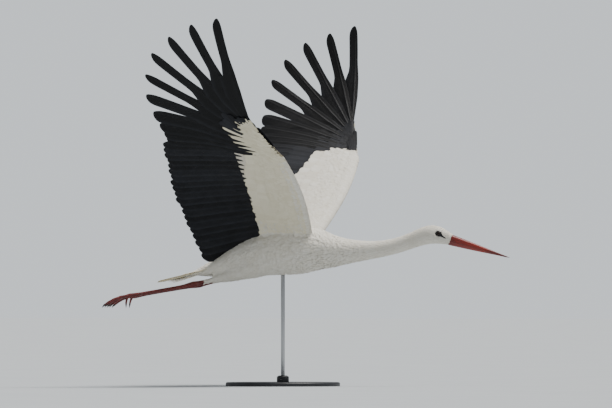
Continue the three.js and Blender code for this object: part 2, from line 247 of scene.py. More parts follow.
# The raised wing is drawn flat, as (out from the shoulder, forward). It rises evenly as far out as
# BEND_START, and curves up from there.
ARM_RISE = math.radians(36)
BEND_START = 0.430
BEND_RADIUS = 0.760
SHOULDER_OUT = 0.042
WRIST = np.array([0.395, 0.052])
HAND_TIP = np.array([0.556, 0.004])


def lerp(a, b, share):
    return a + (b - a) * share


def smooth(value, start, end):
    """0 before start and 1 past end, with an even rise between."""
    share = np.clip((value - start) / (end - start), 0, 1)
    return share * share * (3 - 2 * share)


def raised(out, forward, over, side=1):
    """A place on the wing drawn flat, and over its vanes, as it stands on the raised wing."""
    slope = ARM_RISE + np.maximum(0, out - BEND_START) / BEND_RADIUS
    straight = np.minimum(out, BEND_START)
    y = straight * math.cos(ARM_RISE) + BEND_RADIUS * (np.sin(slope) - math.sin(ARM_RISE))
    z = straight * math.sin(ARM_RISE) + BEND_RADIUS * (math.cos(ARM_RISE) - np.cos(slope))
    y = SHOULDER_OUT + y - over * np.sin(slope)
    z = z + over * np.cos(slope)
    return np.stack([forward + shoulders.x + 0 * y, side * y, z + shoulders.z], axis=-1)


def ringed(around, rings):
    """A closed upright tube, 1 in radius and height, cut into rings."""
    bm = bmesh.new()
    bmesh.ops.create_cone(bm, cap_ends=True, segments=around, radius1=1, radius2=1, depth=1)
    rails = [edge for edge in bm.edges if abs(edge.verts[0].co.z - edge.verts[1].co.z) > 0.5]
    bmesh.ops.subdivide_edges(bm, edges=rails, cuts=rings - 2)
    return bm


def tube(path, sizes, around=16):
    """A closed tube through the points of a path, with a half width and a half height at each."""
    bm = ringed(around, len(path))
    path = [Vector(point) for point in path]
    for v in bm.verts:
        ring = round((v.co.z + 0.5) * (len(path) - 1))
        ahead = (path[min(ring + 1, len(path) - 1)] - path[max(ring - 1, 0)]).normalized()
        across = Vector((0, 0, 1)).cross(ahead).normalized()
        above = ahead.cross(across)
        wide, high = sizes[ring]
        v.co = path[ring] + across * v.co.x * wide + above * v.co.y * high
    bmesh.ops.recalc_face_normals(bm, faces=bm.faces)
    return bm


def smoothed(bm, corners, times):
    """Evens out some corners of a bmesh, each time half way to their neighbours' middle."""
    for _ in range(times):
        bmesh.ops.smooth_vert(bm, verts=corners, factor=0.5, use_axis_x=True, use_axis_y=True,
                              use_axis_z=True)


# The nodes of flesh and a tube for each hand's bones are run into one closed shell on a grid.
VOXEL = 0.0034
flesh = bmesh.new()
for name in FLESH:
    flesh.from_mesh(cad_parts[name].data)
bmesh.ops.remove_doubles(flesh, verts=flesh.verts, dist=1e-6)
for side in (1, -1):
    shares = np.linspace(-0.15, 1.0, 12)
    hand = [raised(*lerp(WRIST, HAND_TIP, s), 0.0, side) for s in shares]
    sizes = [(lerp(0.013, 0.005, s), lerp(0.0065, 0.0035, s)) for s in shares]
    flesh.from_mesh(mesh_of(tube(hand, sizes)))
rough = put("rough", mesh_of(flesh))
grid = rough.modifiers.new("grid", "REMESH")
grid.mode = "VOXEL"
grid.voxel_size = VOXEL
flesh = bmesh.new()
flesh.from_mesh(rough.evaluated_get(bpy.context.evaluated_depsgraph_get()).data)
bpy.data.objects.remove(rough)
smoothed(flesh, flesh.verts, 4)
# The blunt front ends of the thighs are faired into the belly.
thigh_fronts = [v for v in flesh.verts
                if -0.20 < v.co.x - shoulders.x < -0.05 and v.co.z < shoulders.z - 0.060]
smoothed(flesh, thigh_fronts, 45)

# The lids: round each eye the skin is cut finer, raised over the eyeball as a thin rim, and turned in under
# that rim.
LID_LONG = 0.0053
LID_HIGH = 0.0047
LID_THICK = 0.0007
LID_TUCK = 0.0025


def lid_gap(v):
    """How far a corner lies from the middle of its eye. The rim of the lids is at 1."""
    if abs(v.co.y) < 0.010:
        return 99
    return math.hypot((v.co.x - eye.x) / LID_LONG, (v.co.z - eye.z) / LID_HIGH)


for reach in (5.0, 2.2):
    near = [edge for edge in flesh.edges if all(lid_gap(v) < reach for v in edge.verts)]
    bmesh.ops.subdivide_edges(flesh, edges=near, cuts=2, use_grid_fill=True)
    smoothed(flesh, [v for v in flesh.verts if lid_gap(v) < reach * 0.9], 3)
# Past the eyeball's shoulder the skin runs down from it at 45 degrees, to the side of the head.
ball_shoulder = eye_radius * math.sqrt(0.5)
for v in flesh.verts:
    gap = lid_gap(v)
    if gap < 2.6:
        from_axis = math.hypot(v.co.x - eye.x, v.co.z - eye.z)
        if from_axis < ball_shoulder:
            ball = eye_centre + math.sqrt(eye_radius**2 - from_axis**2)
        else:
            ball = eye_centre + (2 * ball_shoulder - from_axis)
        rim = lerp(-LID_TUCK, LID_THICK, float(smooth(gap, 0.86, 1.02)))
        over = ball + rim - 0.0004 * float(smooth(gap, 1.2, 1.5))
        blend = lerp(over, abs(v.co.y), float(smooth(gap, 1.0, 2.5)))
        v.co.y = math.copysign(max(blend, over if gap < 1 else ball + 0.0005), v.co.y)

# Feathers are bent to this outline, in which the tail and legs come last.
outline_mesh = bpy.data.meshes.new("outline")
flesh.to_mesh(outline_mesh)
outline = flesh.copy()
first_tail_face = len(outline.faces)
outline.from_mesh(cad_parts["tail"].data)
first_leg_face = len(outline.faces)
for name in ("leg_left", "leg_right"):
    outline.from_mesh(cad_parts[name].data)
outline = BVHTree.FromBMesh(outline)

WING_DEPTH = 0.0032


def coat_depth(places):
    """How deep the feathers lie: deepest on the trunk, thin on wings and face."""
    x = places[:, 0] - shoulders.x
    body = np.interp(x, [-0.335, -0.25, -0.1, 0.05, 0.15, 0.25, 0.36, 0.40, 0.45, 0.486],
                     [0.003, 0.004, 0.005, 0.005, 0.0045, 0.0035, 0.0025, 0.0015, 0.0009, 0.0005])
    return lerp(body, WING_DEPTH, smooth(np.abs(places[:, 1]), 0.078, 0.11))


BARE_LONG = 0.0088
BARE_HIGH = 0.0076
LORE_SLOPE = math.radians(33)
LORE_LENGTH = 0.027


def off_bare(places):
    """How far places lie from the bare skin, which rings each eye and runs to a point ahead of it. Its edge
    is at 1."""
    ahead, above = places[:, 0] - eye.x, places[:, 2] - eye.z
    ring = np.hypot(ahead / BARE_LONG, above / BARE_HIGH)
    along = ahead * math.cos(LORE_SLOPE) - above * math.sin(LORE_SLOPE)
    aside = np.abs(ahead * math.sin(LORE_SLOPE) + above * math.cos(LORE_SLOPE))
    point = aside / np.interp(along, [0, 0.008, 0.016, LORE_LENGTH], [0.0062, 0.0046, 0.0024, 0.0008])
    point = np.where((along > 0) & (along < LORE_LENGTH), point, 9)
    return np.where(np.abs(places[:, 1]) > 0.008, np.minimum(ring, point), 9)


# The outline is drawn in by the coat's depth, but by no more than a share of what is thick there.
flesh.normal_update()
flesh.verts.ensure_lookup_table()
corners = np.array([v.co for v in flesh.verts])
normals = np.array([v.normal for v in flesh.verts])
THICKEST = 0.1
thick = []
for corner, normal in zip(corners.tolist(), normals.tolist()):
    normal = Vector(normal)
    hit = outline.ray_cast(Vector(corner) - normal * 0.0005, -normal, THICKEST)
    thick.append(hit[3] if hit[3] else THICKEST)
bare = 1 - smooth(off_bare(corners), 0.9, 1.1)
most = lerp(0.30, 0.44, smooth(np.abs(corners[:, 1]), 0.09, 0.12)) * np.array(thick)
inward = lerp(np.minimum(coat_depth(corners), most), 0.0001, bare)
for v, place in zip(flesh.verts, (corners - normals * inward[:, None]).tolist()):
    v.co = place

# It is black round the eyes and under the black plumage, which begins further out on the wing's lower face
# than on its upper one.
skin = mesh_of(flesh, 80)
below = smooth(-normals[:, 2], -0.1, 0.1)
black_from = lerp(*(abs(float(raised(out, 0.0, 0.0)[1])) for out in (0.450, 0.575)), below)
on_wing = smooth(np.abs(corners[:, 1]) - black_from, -0.006, 0.006)
dark = np.maximum(on_wing, 1 - smooth(off_bare(corners), 1.5, 1.9))
skin.attributes.new("dark", "FLOAT", "POINT").data.foreach_set("value", dark.astype(np.float32))

# Cast skin: matt, with pores 1.4 mm apart, cream-white like the plumage over it, and black as written above.
cast_skin, place = new_finish("cast_bird_skin")
pores = noise(cast_skin, place, 700, 2)
pale = tinted(cast_skin, noise(cast_skin, place, 25, 4), (0.3, "#cfc5b2"), (0.7, "#ded7c8"))
dark = add(cast_skin, "Attribute", attribute_name="dark")["Fac"]
tint = add(cast_skin, "Mix", data_type="RGBA", i0=dark, i6=pale, i7=colour("#15151a"))[2]
grain = add(cast_skin, "Bump", Height=pores, Strength=0.2, Distance=0.0003)["Normal"]
surface(cast_skin, tint, Roughness=0.7, Normal=grain, IOR=1.45)
make_piece("skin", skin, cast_skin, "white_plumage", *FLESH)

# ---- Eyes: two glass eyes set in the skin, dark brown with a round pupil, under a clear glossy front ----
# Each is a ball, whose front alone shows between the skin's lids.
SIDES = ((1, "left"), (-1, "right"))

# Glass eye: a black pupil in a dark brown iris with fibres about 1 mm long, under a clear coat that gives the
# one sharp glint on the bird.
IRIS_RADIUS = 0.0062
glass_eye, place = new_finish("glass_eye")
centred = add(glass_eye, "Mapping", Vector=place, Location=(-eye.x, 0, -eye.z))["Vector"]
flat = add(glass_eye, "VectorMath", operation="MULTIPLY", i0=centred, i1=(1, 0, 1))[0]
radius = add(glass_eye, "VectorMath", operation="LENGTH", i0=flat)["Value"]
share = add(glass_eye, "Math", operation="DIVIDE", i0=radius, i1=IRIS_RADIUS)[0]
fibres = noise(glass_eye, centred, 900, 3)
uneven = add(glass_eye, "Math", operation="MULTIPLY_ADD", i0=fibres, i1=0.06, i2=share)[0]
iris = tinted(glass_eye, uneven, (0.36, "#020202"), (0.40, "#24150c"), (0.62, "#2f1b0f"), (0.78, "#160d08"),
              (0.9, "#050403"))
surface(glass_eye, iris, Roughness=0.3, IOR=1.4, Specular_IOR_Level=0.0, Coat_Weight=0.8,
        Coat_Roughness=0.03, Coat_IOR=1.38)

for side, name in SIDES:
    ball = bmesh.new()
    bmesh.ops.create_uvsphere(ball, u_segments=40, v_segments=24, radius=eye_radius)
    bmesh.ops.rotate(ball, verts=ball.verts, matrix=Matrix.Rotation(math.radians(90), 3, "X"))
    bmesh.ops.translate(ball, verts=ball.verts, vec=(eye.x, side * eye_centre, eye.z))
    make_piece(f"glass_eye_{name}", mesh_of(ball, 60), glass_eye, "eye", f"eye_{name}")

# ---- Bill: two tapered sheaths of red horn, meeting along the gape, with a slit nostril on each side ----
# A low ridge runs along the top, and the cutting edges are sharp. Each sheath is one tube drawn to shape.
BILL_LENGTH = 0.186
BILL_DEPTH = 0.031
BILL_WIDTH = 0.022
BILL_TAPER = ([0, 0.2, 0.4, 0.6, 0.8, 0.94, 1], [1, 0.84, 0.66, 0.45, 0.24, 0.11, 0.03])
HEAD_PITCH = math.radians(16)
along_bill = Vector((math.cos(HEAD_PITCH), 0, -math.sin(HEAD_PITCH)))
above_bill = Vector((math.sin(HEAD_PITCH), 0, math.cos(HEAD_PITCH)))
bill_root = shoulders + Vector((0.478, 0, -0.017))

# The nostril's slit, and the shallow groove that it lies in: depth, middle along the bill, half length, half
# height, and how squarely each ends.
NOSTRIL_HEIGHT = 0.0052
NOSTRIL = ((0.0016, 0.024, 0.0075, 0.0011, 4), (0.0004, 0.040, 0.035, 0.0016, 2))

# Red horn: half polished, with fine streaks 2 mm apart along the bill, dark at its root and its tip and
# brightest past its middle. The streaks break up its highlight.
red_horn, place = new_finish("red_bill_horn")
along = add(red_horn, "Mapping", Vector=place, Location=-bill_root)["Vector"]
turned_level = add(red_horn, "Mapping", Vector=along, Rotation=(0, -HEAD_PITCH, 0))["Vector"]
drawn = add(red_horn, "Mapping", Vector=turned_level, Scale=(30, 500, 500))["Vector"]
grooves = noise(red_horn, drawn, 1, 4)
stains = noise(red_horn, place, 45, 5, Roughness=0.6)
to_tip = between(red_horn, add(red_horn, "SeparateXYZ", Vector=turned_level)["X"], From_Max=BILL_LENGTH)
tone = add(red_horn, "Math", operation="MULTIPLY_ADD", i0=stains, i1=0.5, i2=to_tip)[0]
red = tinted(red_horn, tone, (0.15, "#6e1a14"), (0.45, "#89241a"), (0.8, "#9a2d1f"), (1.0, "#6c2018"))
streaks = tinted(red_horn, grooves, (0.35, "#d8d8d8"), (0.65, "#ffffff"))
tint = add(red_horn, "Mix", data_type="RGBA", blend_type="MULTIPLY", i0=1.0, i6=red, i7=streaks)[2]
wear = between(red_horn, grooves, To_Min=0.30, To_Max=0.46)
grain = add(red_horn, "Bump", Height=grooves, Strength=0.35, Distance=0.0004)["Normal"]
surface(red_horn, tint, Roughness=wear, Normal=grain, IOR=1.54, Coat_Weight=0.15, Coat_Roughness=0.25)

for upper, name in ((1, "bill_upper"), (-1, "bill_lower")):
    sheath = ringed(48, 60)
    for v in sheath.verts:
        share = (v.co.z + 0.5) ** 1.25
        reach = lerp(-0.006, BILL_LENGTH - (0 if upper > 0 else 0.0015), share)
        size = float(np.interp(reach / BILL_LENGTH, *BILL_TAPER))
        gape = min(-0.0025 + 0.014 * reach, BILL_DEPTH / 2 * size * 0.3)
        angle = math.atan2(v.co.y, v.co.x)
        wide = BILL_WIDTH / 2 * size * math.copysign(abs(math.cos(angle)) ** 0.9, math.cos(angle))
        high = upper * BILL_DEPTH / 2 * size
        if math.sin(angle) > 0:
            ridge = 1 + 0.035 * max(0, 1 - abs(wide) / 0.0022)
            up = gape + (high - gape) * math.sin(angle) ** 0.85 * ridge
        else:
            up = gape + upper * 0.0006 * abs(math.sin(angle))
        up += upper * 0.00015
        for deep, middle, half_long, half_high, square in NOSTRIL:
            if upper > 0 and abs(wide) > 0.002:
                hollow = math.exp(-(((reach - middle) / half_long) ** square))
                hollow *= math.exp(-(((up - NOSTRIL_HEIGHT) / half_high) ** 2))
                wide -= math.copysign(deep * hollow, wide)
        v.co = bill_root + along_bill * reach + above_bill * up + Vector((0, wide, 0))
    bmesh.ops.recalc_face_normals(sheath, faces=sheath.faces)
    make_piece(f"{name}_sheath", mesh_of(sheath, 50), red_horn, "bill_horn", name)

# ---- Legs and feet: trailing straight back, the toes closed together, cast in red scaled skin ----
# The shank is bare below the thigh feathers and swells at the ankle. Plates ring the fronts of the toes, and
# each toe ends in a claw of dark horn.

# The left leg from inside the thigh to the toes: places from shoulders, and the leg's half height in mm.
LEG_PATH = [(-0.245, 0.0342, -0.1305, 6.6), (-0.262, 0.033, -0.135, 6.4), (-0.284, 0.0315, -0.140, 6.0),
            (-0.306, 0.030, -0.1445, 7.4), (-0.322, 0.029, -0.148, 9.4), (-0.336, 0.0287, -0.1508, 7.9),
            (-0.352, 0.0283, -0.1537, 5.9), (-0.375, 0.0278, -0.1576, 5.2), (-0.445, 0.026, -0.169, 5.0),
            (-0.490, 0.0249, -0.1765, 5.3), (-0.512, 0.0243, -0.1801, 6.6), (-0.524, 0.024, -0.182, 7.6),
            (-0.534, 0.0237, -0.1838, 6.0)]
LEG_RINGS = 150
TOE_ROOT = (-0.529, 0.024, -0.182)
TOES = {  # sideways start, turn inwards, droop, length, radius, joints at these shares of its length
    "middle": (0.0, 0.02, 0.07, 0.080, 0.0050, (0.30, 0.58, 0.82)),
    "inner": (-0.003, 0.13, 0.16, 0.062, 0.0046, (0.38, 0.76)),
    "outer": (0.003, -0.10, 0.12, 0.068, 0.0046, (0.24, 0.46, 0.66, 0.86)),
    "hind": (-0.002, 0.20, 0.95, 0.026, 0.0042, (0.45,)),
}
TOE_PLATE = 0.0034

# Scaled skin: satin red, darkened to the maroon of legs in shade, a painted shade, in scales about 3 mm across
# with darker seams, and in places a thin white bloom of lime, as on a living bird's legs.
leg_skin_painted_shade, place = new_finish("leg_skin_darkened_painted_shade")
cells = add(leg_skin_painted_shade, "TexVoronoi", Vector=place, feature="DISTANCE_TO_EDGE", Scale=330,
            Randomness=0.8)["Distance"]
plates = between(leg_skin_painted_shade, cells, From_Max=0.16)
grime = noise(leg_skin_painted_shade, place, 55, 5, Roughness=0.65)
lime = noise(leg_skin_painted_shade, place, 22, 4)
# These reds run dark, to the maroon of the legs in shade: painted shade.
red = tinted(leg_skin_painted_shade, grime, (0.25, "#541b1c"), (0.5, "#732825"), (0.8, "#8c3832"))
seams = tinted(leg_skin_painted_shade, plates, (0.0, "#6e6a6a"), (0.6, "#ffffff"))
tint = add(leg_skin_painted_shade, "Mix", data_type="RGBA", blend_type="MULTIPLY", i0=0.8, i6=red, i7=seams)[2]
whitened = between(leg_skin_painted_shade, lime, From_Min=0.60, From_Max=0.80, To_Max=0.30)
tint = add(leg_skin_painted_shade, "Mix", data_type="RGBA", i0=whitened, i6=tint, i7=colour("#c9b6a8"))[2]
grain = add(leg_skin_painted_shade, "Bump", Height=plates, Strength=0.6, Distance=0.0005)["Normal"]
surface(leg_skin_painted_shade, tint, Roughness=0.5, Normal=grain, IOR=1.5)

# Claw horn: nearly black and half polished, with brown clouds about 2.5 mm across.
claw_horn, place = new_finish("dark_claw_horn")
tint = tinted(claw_horn, noise(claw_horn, place, 400, 3), (0.3, "#1c1512"), (0.75, "#463730"))
surface(claw_horn, tint, Roughness=0.38, IOR=1.54)


def smooth_path(points, rings):
    """Points along a smooth line through the given ones, with the size that each row carries last."""
    points = np.array(points)
    steps = np.linalg.norm(np.diff(points[:, :3], axis=0), axis=1)
    given = np.concatenate([[0], np.cumsum(steps)])
    fine = np.linspace(0, given[-1], rings)
    line = np.stack([np.interp(fine, given, points[:, i]) for i in range(points.shape[1])], axis=-1)
    for _ in range(4):
        line[1:-1] = (line[:-2] + 2 * line[1:-1] + line[2:]) / 4
    return line


for side, name in SIDES:
    line = smooth_path(LEG_PATH, LEG_RINGS)
    path = [shoulders + Vector((x, side * y, z)) for x, y, z, _ in line]
    ridges = 0.00012 * np.maximum(0, np.sin(np.arange(LEG_RINGS) * math.tau / 3.0))
    sizes = [(size * 0.00092 + ridge, size * 0.001 + ridge) for size, ridge in zip(line[:, 3], ridges)]
    leg = mesh_of(tube(path, sizes, 28), 60)
    make_piece(f"leg_{name}_scaled", leg, leg_skin_painted_shade, "leg_scales", f"leg_{name}")
    foot = bmesh.new()
    for toe, (aside, turn, droop, long, radius, joints) in TOES.items():

        def toe_point(share):
            sag = droop + 0.28 * share
            return shoulders + Vector((TOE_ROOT[0] - long * share * math.cos(sag),
                                       side * (TOE_ROOT[1] + aside - long * share * math.sin(turn)),
                                       TOE_ROOT[2] - long * share * math.sin(sag)))

        shares = np.linspace(-0.12, 1.0, 60)
        swell = sum(np.exp(-(((shares - joint) / 0.06) ** 2)) for joint in joints)
        plate = 0.00016 * np.abs(np.sin(shares * long / TOE_PLATE * math.pi))
        round_end = np.sqrt(np.clip((1.02 - shares) / 0.06, 0.05, 1))
        sizes = (radius * (1 - 0.35 * shares) * (0.90 + 0.14 * swell) + plate) * round_end
        foot.from_mesh(mesh_of(tube([toe_point(s) for s in shares], [(s, s * 0.95) for s in sizes], 20)))
        tip = toe_point(1.0)
        heading = (tip - toe_point(0.9)).normalized()
        shares = np.linspace(-0.35, 1, 14)
        path = [tip + heading * (0.0008 + 0.009 * s) - Vector((0, 0, 0.0025 * s * abs(s))) for s in shares]
        tapers = [1 - 0.92 * max(0, s) ** 1.2 for s in shares]
        sizes = [(radius * 0.56 * taper, radius * 0.62 * taper) for taper in tapers]
        make_piece(f"claw_{name}_{toe}_horn", mesh_of(tube(path, sizes, 16), 60), claw_horn, "claw",
                   f"claw_{name}_{toe}")
    make_piece(f"foot_{name}_scaled", mesh_of(foot, 60), leg_skin_painted_shade, "leg_scales", f"foot_{name}")

# ---- Body feathers: some thousands of small white vanes over trunk, thighs, neck and head ----
# Each is rooted in the skin and lies back along the body, its tip on the coat's outline over those behind it.
# They are smallest round the bill and eyes. All are copies of a leaf, bent to the body.

# How uneven a feather's tip is, how far it clears the tail and the legs, and its patch's share of the unwrap.
RAGGED = 0.04
OVER_TAIL = 0.0022
OVER_LEG = 0.0018
PATCH = 0.003


def leaf(shares, widths, across):
    """A leaf of two layers welded round its rim, as the pattern of a feather. shares places its rows from
    root to tip, and widths is its width at each. It gives its four-cornered faces, each corner's row, column
    and layer (1 above, -1 below, 0 on the rim), and the shares and widths."""
    along = len(shares) - 1
    bm = bmesh.new()
    bmesh.ops.create_grid(bm, x_segments=along, y_segments=across, size=0.5)
    copied = bmesh.ops.duplicate(bm, geom=bm.verts[:] + bm.edges[:] + bm.faces[:])["geom"]
    below = {v for v in copied if isinstance(v, bmesh.types.BMVert)}
    bmesh.ops.reverse_faces(bm, faces=[f for f in copied if isinstance(f, bmesh.types.BMFace)])
    for v in bm.verts:
        on_rim = max(abs(v.co.x), abs(v.co.y)) > 0.499
        v.co.z = 0 if on_rim else (-1 if v in below else 1)
    bmesh.ops.remove_doubles(bm, verts=bm.verts, dist=1e-4)
    bm.verts.index_update()
    faces = np.array([[v.index for v in face.verts] for face in bm.faces])
    row = np.array([round((v.co.x + 0.5) * along) for v in bm.verts])
    column = np.array([round((v.co.y + 0.5) * across) for v in bm.verts])
    layer = np.array([v.co.z for v in bm.verts])
    bm.free()
    return faces, row, column, layer, np.array(shares), np.array(widths)


def feather_mesh(pattern, corners, length, width, root_place, tone):
    """Joins copies of a pattern into one mesh. corners holds each feather's corners, root_place its root's
    place on the unwrap of the skin, and tone how light it is, which its finish reads as shade."""
    faces, row, column, _, shares, _ = pattern
    count, each = corners.shape[:2]
    # Its volume tells whether bending has turned the leaf inside out.
    a, b, c, d = (corners[0] - corners[0].mean(axis=0))[faces].transpose(1, 0, 2)
    if np.sum(np.cross(a, b) * c + np.cross(a, c) * d) < 0:
        faces = faces[:, ::-1]
    quads = (faces[None] + np.arange(count)[:, None, None] * each).reshape(-1, 4)
    mesh = bpy.data.meshes.new("feathers")
    mesh.vertices.add(count * each)
    mesh.vertices.foreach_set("co", corners.astype(np.float32).ravel())
    mesh.loops.add(quads.size)
    mesh.loops.foreach_set("vertex_index", quads.ravel())
    mesh.polygons.add(len(quads))
    mesh.polygons.foreach_set("loop_start", np.arange(0, quads.size, 4))
    mesh.update(calc_edges=True)
    leaf_place = np.stack([column / column.max() - 0.5, shares[row]], axis=-1)
    patch = root_place[:, None] + PATCH * (leaf_place - (0, 0.5))[None]
    vane = leaf_place[None] * np.stack([width, length], axis=-1)[:, None]
    for name, places in (("OFBake", patch), ("vane", vane)):
        layer_uv = mesh.uv_layers.new(name=name)
        layer_uv.uv.foreach_set("vector", places.reshape(-1, 2)[quads.ravel()].astype(np.float32).ravel())
    across = np.tile(2 * column / column.max() - 1, count)
    for name, values in (("shade", np.repeat(tone, each)), ("across", across)):
        mesh.attributes.new(name, "FLOAT", "POINT").data.foreach_set("value", values.astype(np.float32))
    mesh.shade_smooth()
    mesh.set_sharp_from_angle(angle=math.radians(70))
    return mesh


def spaced(places, spacing):
    """The places that stay when each one kept clears the others nearer than its spacing."""
    tree = KDTree(len(places))
    for i, place in enumerate(places):
        tree.insert(place, i)
    tree.balance()
    free = np.ones(len(places), bool)
    kept = []
    for i, place in enumerate(places):
        if free[i]:
            kept.append(i)
            for _, near, _ in tree.find_range(place, spacing[i]):
                free[near] = False
    return np.array(kept)


def scattered(mesh, spacing_at):
    """Roots spread over a mesh, with the outward direction at each, spaced as spacing_at says."""
    mesh.calc_loop_triangles()
    corners = np.zeros(len(mesh.vertices) * 3, np.float32)
    mesh.vertices.foreach_get("co", corners)
    triangles = np.zeros(len(mesh.loop_triangles) * 3, np.int32)
    mesh.loop_triangles.foreach_get("vertices", triangles)
    sides = corners.reshape(-1, 3)[triangles.reshape(-1, 3)]
    facing = np.cross(sides[:, 1] - sides[:, 0], sides[:, 2] - sides[:, 0])
    area = np.linalg.norm(facing, axis=1) / 2
    want = area / spacing_at(sides.mean(axis=1)) ** 2
    picked = chance.choice(len(area), int(want.sum() * 6), p=want / want.sum())
    a, b = chance.random((2, len(picked), 1))
    a, b = np.where(a + b > 1, 1 - a, a), np.where(a + b > 1, 1 - b, b)
    tri = sides[picked]
    places = tri[:, 0] + a * (tri[:, 1] - tri[:, 0]) + b * (tri[:, 2] - tri[:, 0])
    kept = spaced(places, spacing_at(places))
    return places[kept], facing[picked[kept]] / (2 * area[picked[kept], None])


def unit(vectors):
    return vectors / np.linalg.norm(vectors, axis=-1, keepdims=True)


def laid(pattern, roots, facing, lie, length, width, depth, stand):
    """Feathers bent to the outline of the coat: each sinks to the skin at its root, and stand lifts its tip.
    Gives their corners, and which of them lie without a leap."""
    _, row, column, layer, share, wide = pattern
    lie = unit(lie - facing * np.sum(lie * facing, axis=1, keepdims=True))
    across = np.cross(facing, lie)
    side = np.linspace(-1, 1, column.max() + 1)
    uneven = RAGGED * chance.normal(size=(len(roots), 1, len(side)))
    reach = share[None, :, None] * (1 + uneven * share[None, :, None] ** 6)
    reach = (reach * length[:, None, None])[..., None] * lie[:, None, None]
    spread = (wide[None, :, None] * side * width[:, None, None] / 2)[..., None] * across[:, None, None]
    aim = roots[:, None, None] + reach + spread
    found = [outline.find_nearest(p) for p in aim.reshape(-1, 3).tolist()]
    on, out = (np.array([hit[i] for hit in found]).reshape(aim.shape) for i in (0, 1))
    part = np.array([hit[2] for hit in found]).reshape(aim.shape[:-1])
    clearing = np.select([part >= first_leg_face, part >= first_tail_face], [OVER_LEG, OVER_TAIL], 0)
    leap = np.linalg.norm(np.diff(on, axis=1), axis=-1) - np.linalg.norm(np.diff(aim, axis=1), axis=-1)
    apart = np.linalg.norm(np.diff(on, axis=2), axis=-1)
    whole = (leap.max(axis=(1, 2)) < 0.10 * length) & (apart.max(axis=(1, 2)) < 1.1 * width)
    sunk = depth[:, None, None] * (1 - share[None, :, None]) ** 0.8
    lift = stand[:, None, None] * share[None, :, None] ** 2
    height = lift - sunk - 0.05 * width[:, None, None] * side**2 + clearing
    centre = on + out * height[..., None]
    centre, out = centre[:, row, column], out[:, row, column]
    thick = np.minimum(0.00015, 0.03 * width)[:, None] * (1.15 - share[row])
    return centre + out * (layer * thick)[..., None], whole


# Feather: matt keratin barbs that scatter light, in a fine herringbone either side of the shaft, and each
# feather a little darker or lighter than the next. Real barbs are 0.4 mm apart. These are drawn at 1.3 mm, so
# that they show.
def plumage(name, tints, gloss, relief, shine=0.5, coat=0.0, shaft=0.0, rim=0.0, barb=0.0013):
    """A vane's finish. tints run from its darkest colour to its lightest. shaft and rim lighten or darken its
    middle and its edges, and coat is its gloss."""
    finish, place = new_finish(name)

    def maths(operation, *values):
        return add(finish, "Math", operation=operation, **{f"i{i}": v for i, v in enumerate(values)})[0]

    vane = add(finish, "SeparateXYZ", Vector=add(finish, "UVMap", uv_map="vane")["UV"])
    slant = maths("MULTIPLY", maths("ABSOLUTE", vane["X"]), -0.8)
    rise = maths("ADD", vane["Y"], slant)
    phase = maths("MULTIPLY_ADD", noise(finish, place, 260, 2), 1.2 * barb, rise)
    barbs = maths("SINE", maths("MULTIPLY", phase, math.tau / barb))
    soft = between(finish, barbs, From_Min=-1)
    shade = add(finish, "Attribute", attribute_name="shade")["Fac"]
    tone = maths("MULTIPLY_ADD", noise(finish, place, 30, 4), 0.35, shade)
    tone = maths("MULTIPLY_ADD", soft, 0.12, tone)
    out = maths("ABSOLUTE", add(finish, "Attribute", attribute_name="across")["Fac"])
    tone = maths("ADD", tone, between(finish, out, From_Min=0.05, From_Max=0.09, To_Min=shaft, To_Max=0))
    # A negative rim darkens the edges as painted shade between feathers; a positive one lightens them as wear.
    tone = maths("ADD", tone, between(finish, out, From_Min=0.75, To_Max=rim))
    bump = add(finish, "Bump", Height=soft, Strength=relief, Distance=0.0003)["Normal"]
    surface(finish, tinted(finish, tone, *tints), Roughness=gloss, Normal=bump, IOR=1.54,
            Specular_IOR_Level=shine, Coat_Weight=coat, Coat_Roughness=0.35)
    return finish


# The body's are warm white. The face's are the same with barbs 0.6 mm apart, as its feathers are so small.
WHITES = [(0.0, "#b9b09c"), (0.45, "#dcd6c6"), (1.0, "#f4f1e8")]
white_vane = plumage("white_contour_feather", WHITES, 0.72, 0.3)
fine_vane = plumage("white_face_feather", WHITES, 0.75, 0.3, barb=0.0006)

# Rows of corners from root to tip, and the width at each.
SMALL = leaf([0, 0.38, 0.72, 0.91, 1], [0.45, 0.88, 1, 0.80, 0.34], 2)
CONTOUR = leaf([0, 0.34, 0.66, 0.87, 0.965, 1], [0.40, 0.84, 1, 0.92, 0.66, 0.36], 4)

# Places along the body from the shoulders, and the feathers' spacing, length, width and stand at each.
STATIONS = [-0.335, -0.25, -0.1, 0.05, 0.15, 0.25, 0.34, 0.38, 0.42, 0.45, 0.486]
SPACINGS = [0.0054, 0.0056, 0.0060, 0.0058, 0.0048, 0.0036, 0.0028, 0.0023, 0.0019, 0.0016, 0.0013]
LENGTHS = [0.032, 0.033, 0.034, 0.032, 0.027, 0.021, 0.0160, 0.0130, 0.0098, 0.0078, 0.0050]
WIDTHS = [0.012, 0.013, 0.0140, 0.0135, 0.0100, 0.0070, 0.0050, 0.0038, 0.0028, 0.0022, 0.0018]
STANDS = [0.0006, 0.0006, 0.0005, 0.0005, 0.0005, 0.0004, 0.0003, 0.0002, 0.0001, 0.0001, 0]
PLUME_LENGTH = 0.058
PLUME_WIDTH = 0.0085
ON_BODY = 0.1

# The line that the feathers lie along, as (ahead of the shoulders, above them), from the rump to the bill.
SPINE = np.array([
    (-0.335, -0.116), (-0.300, -0.108), (-0.255, -0.097), (-0.205, -0.083), (-0.150, -0.068),
    (-0.080, -0.052), (-0.010, -0.042), (0.050, -0.040), (0.100, -0.045), (0.150, -0.047), (0.200, -0.046),
    (0.255, -0.042), (0.310, -0.031), (0.355, -0.017), (0.387, -0.006), (0.412, -0.001), (0.437, -0.003),
    (0.461, -0.010), (0.486, -0.019),
])


def body_spacing(places):
    gap = np.interp(places[:, 0] - shoulders.x, STATIONS, SPACINGS)
    return np.where(np.abs(places[:, 1]) > 0.098, 0.02, gap)


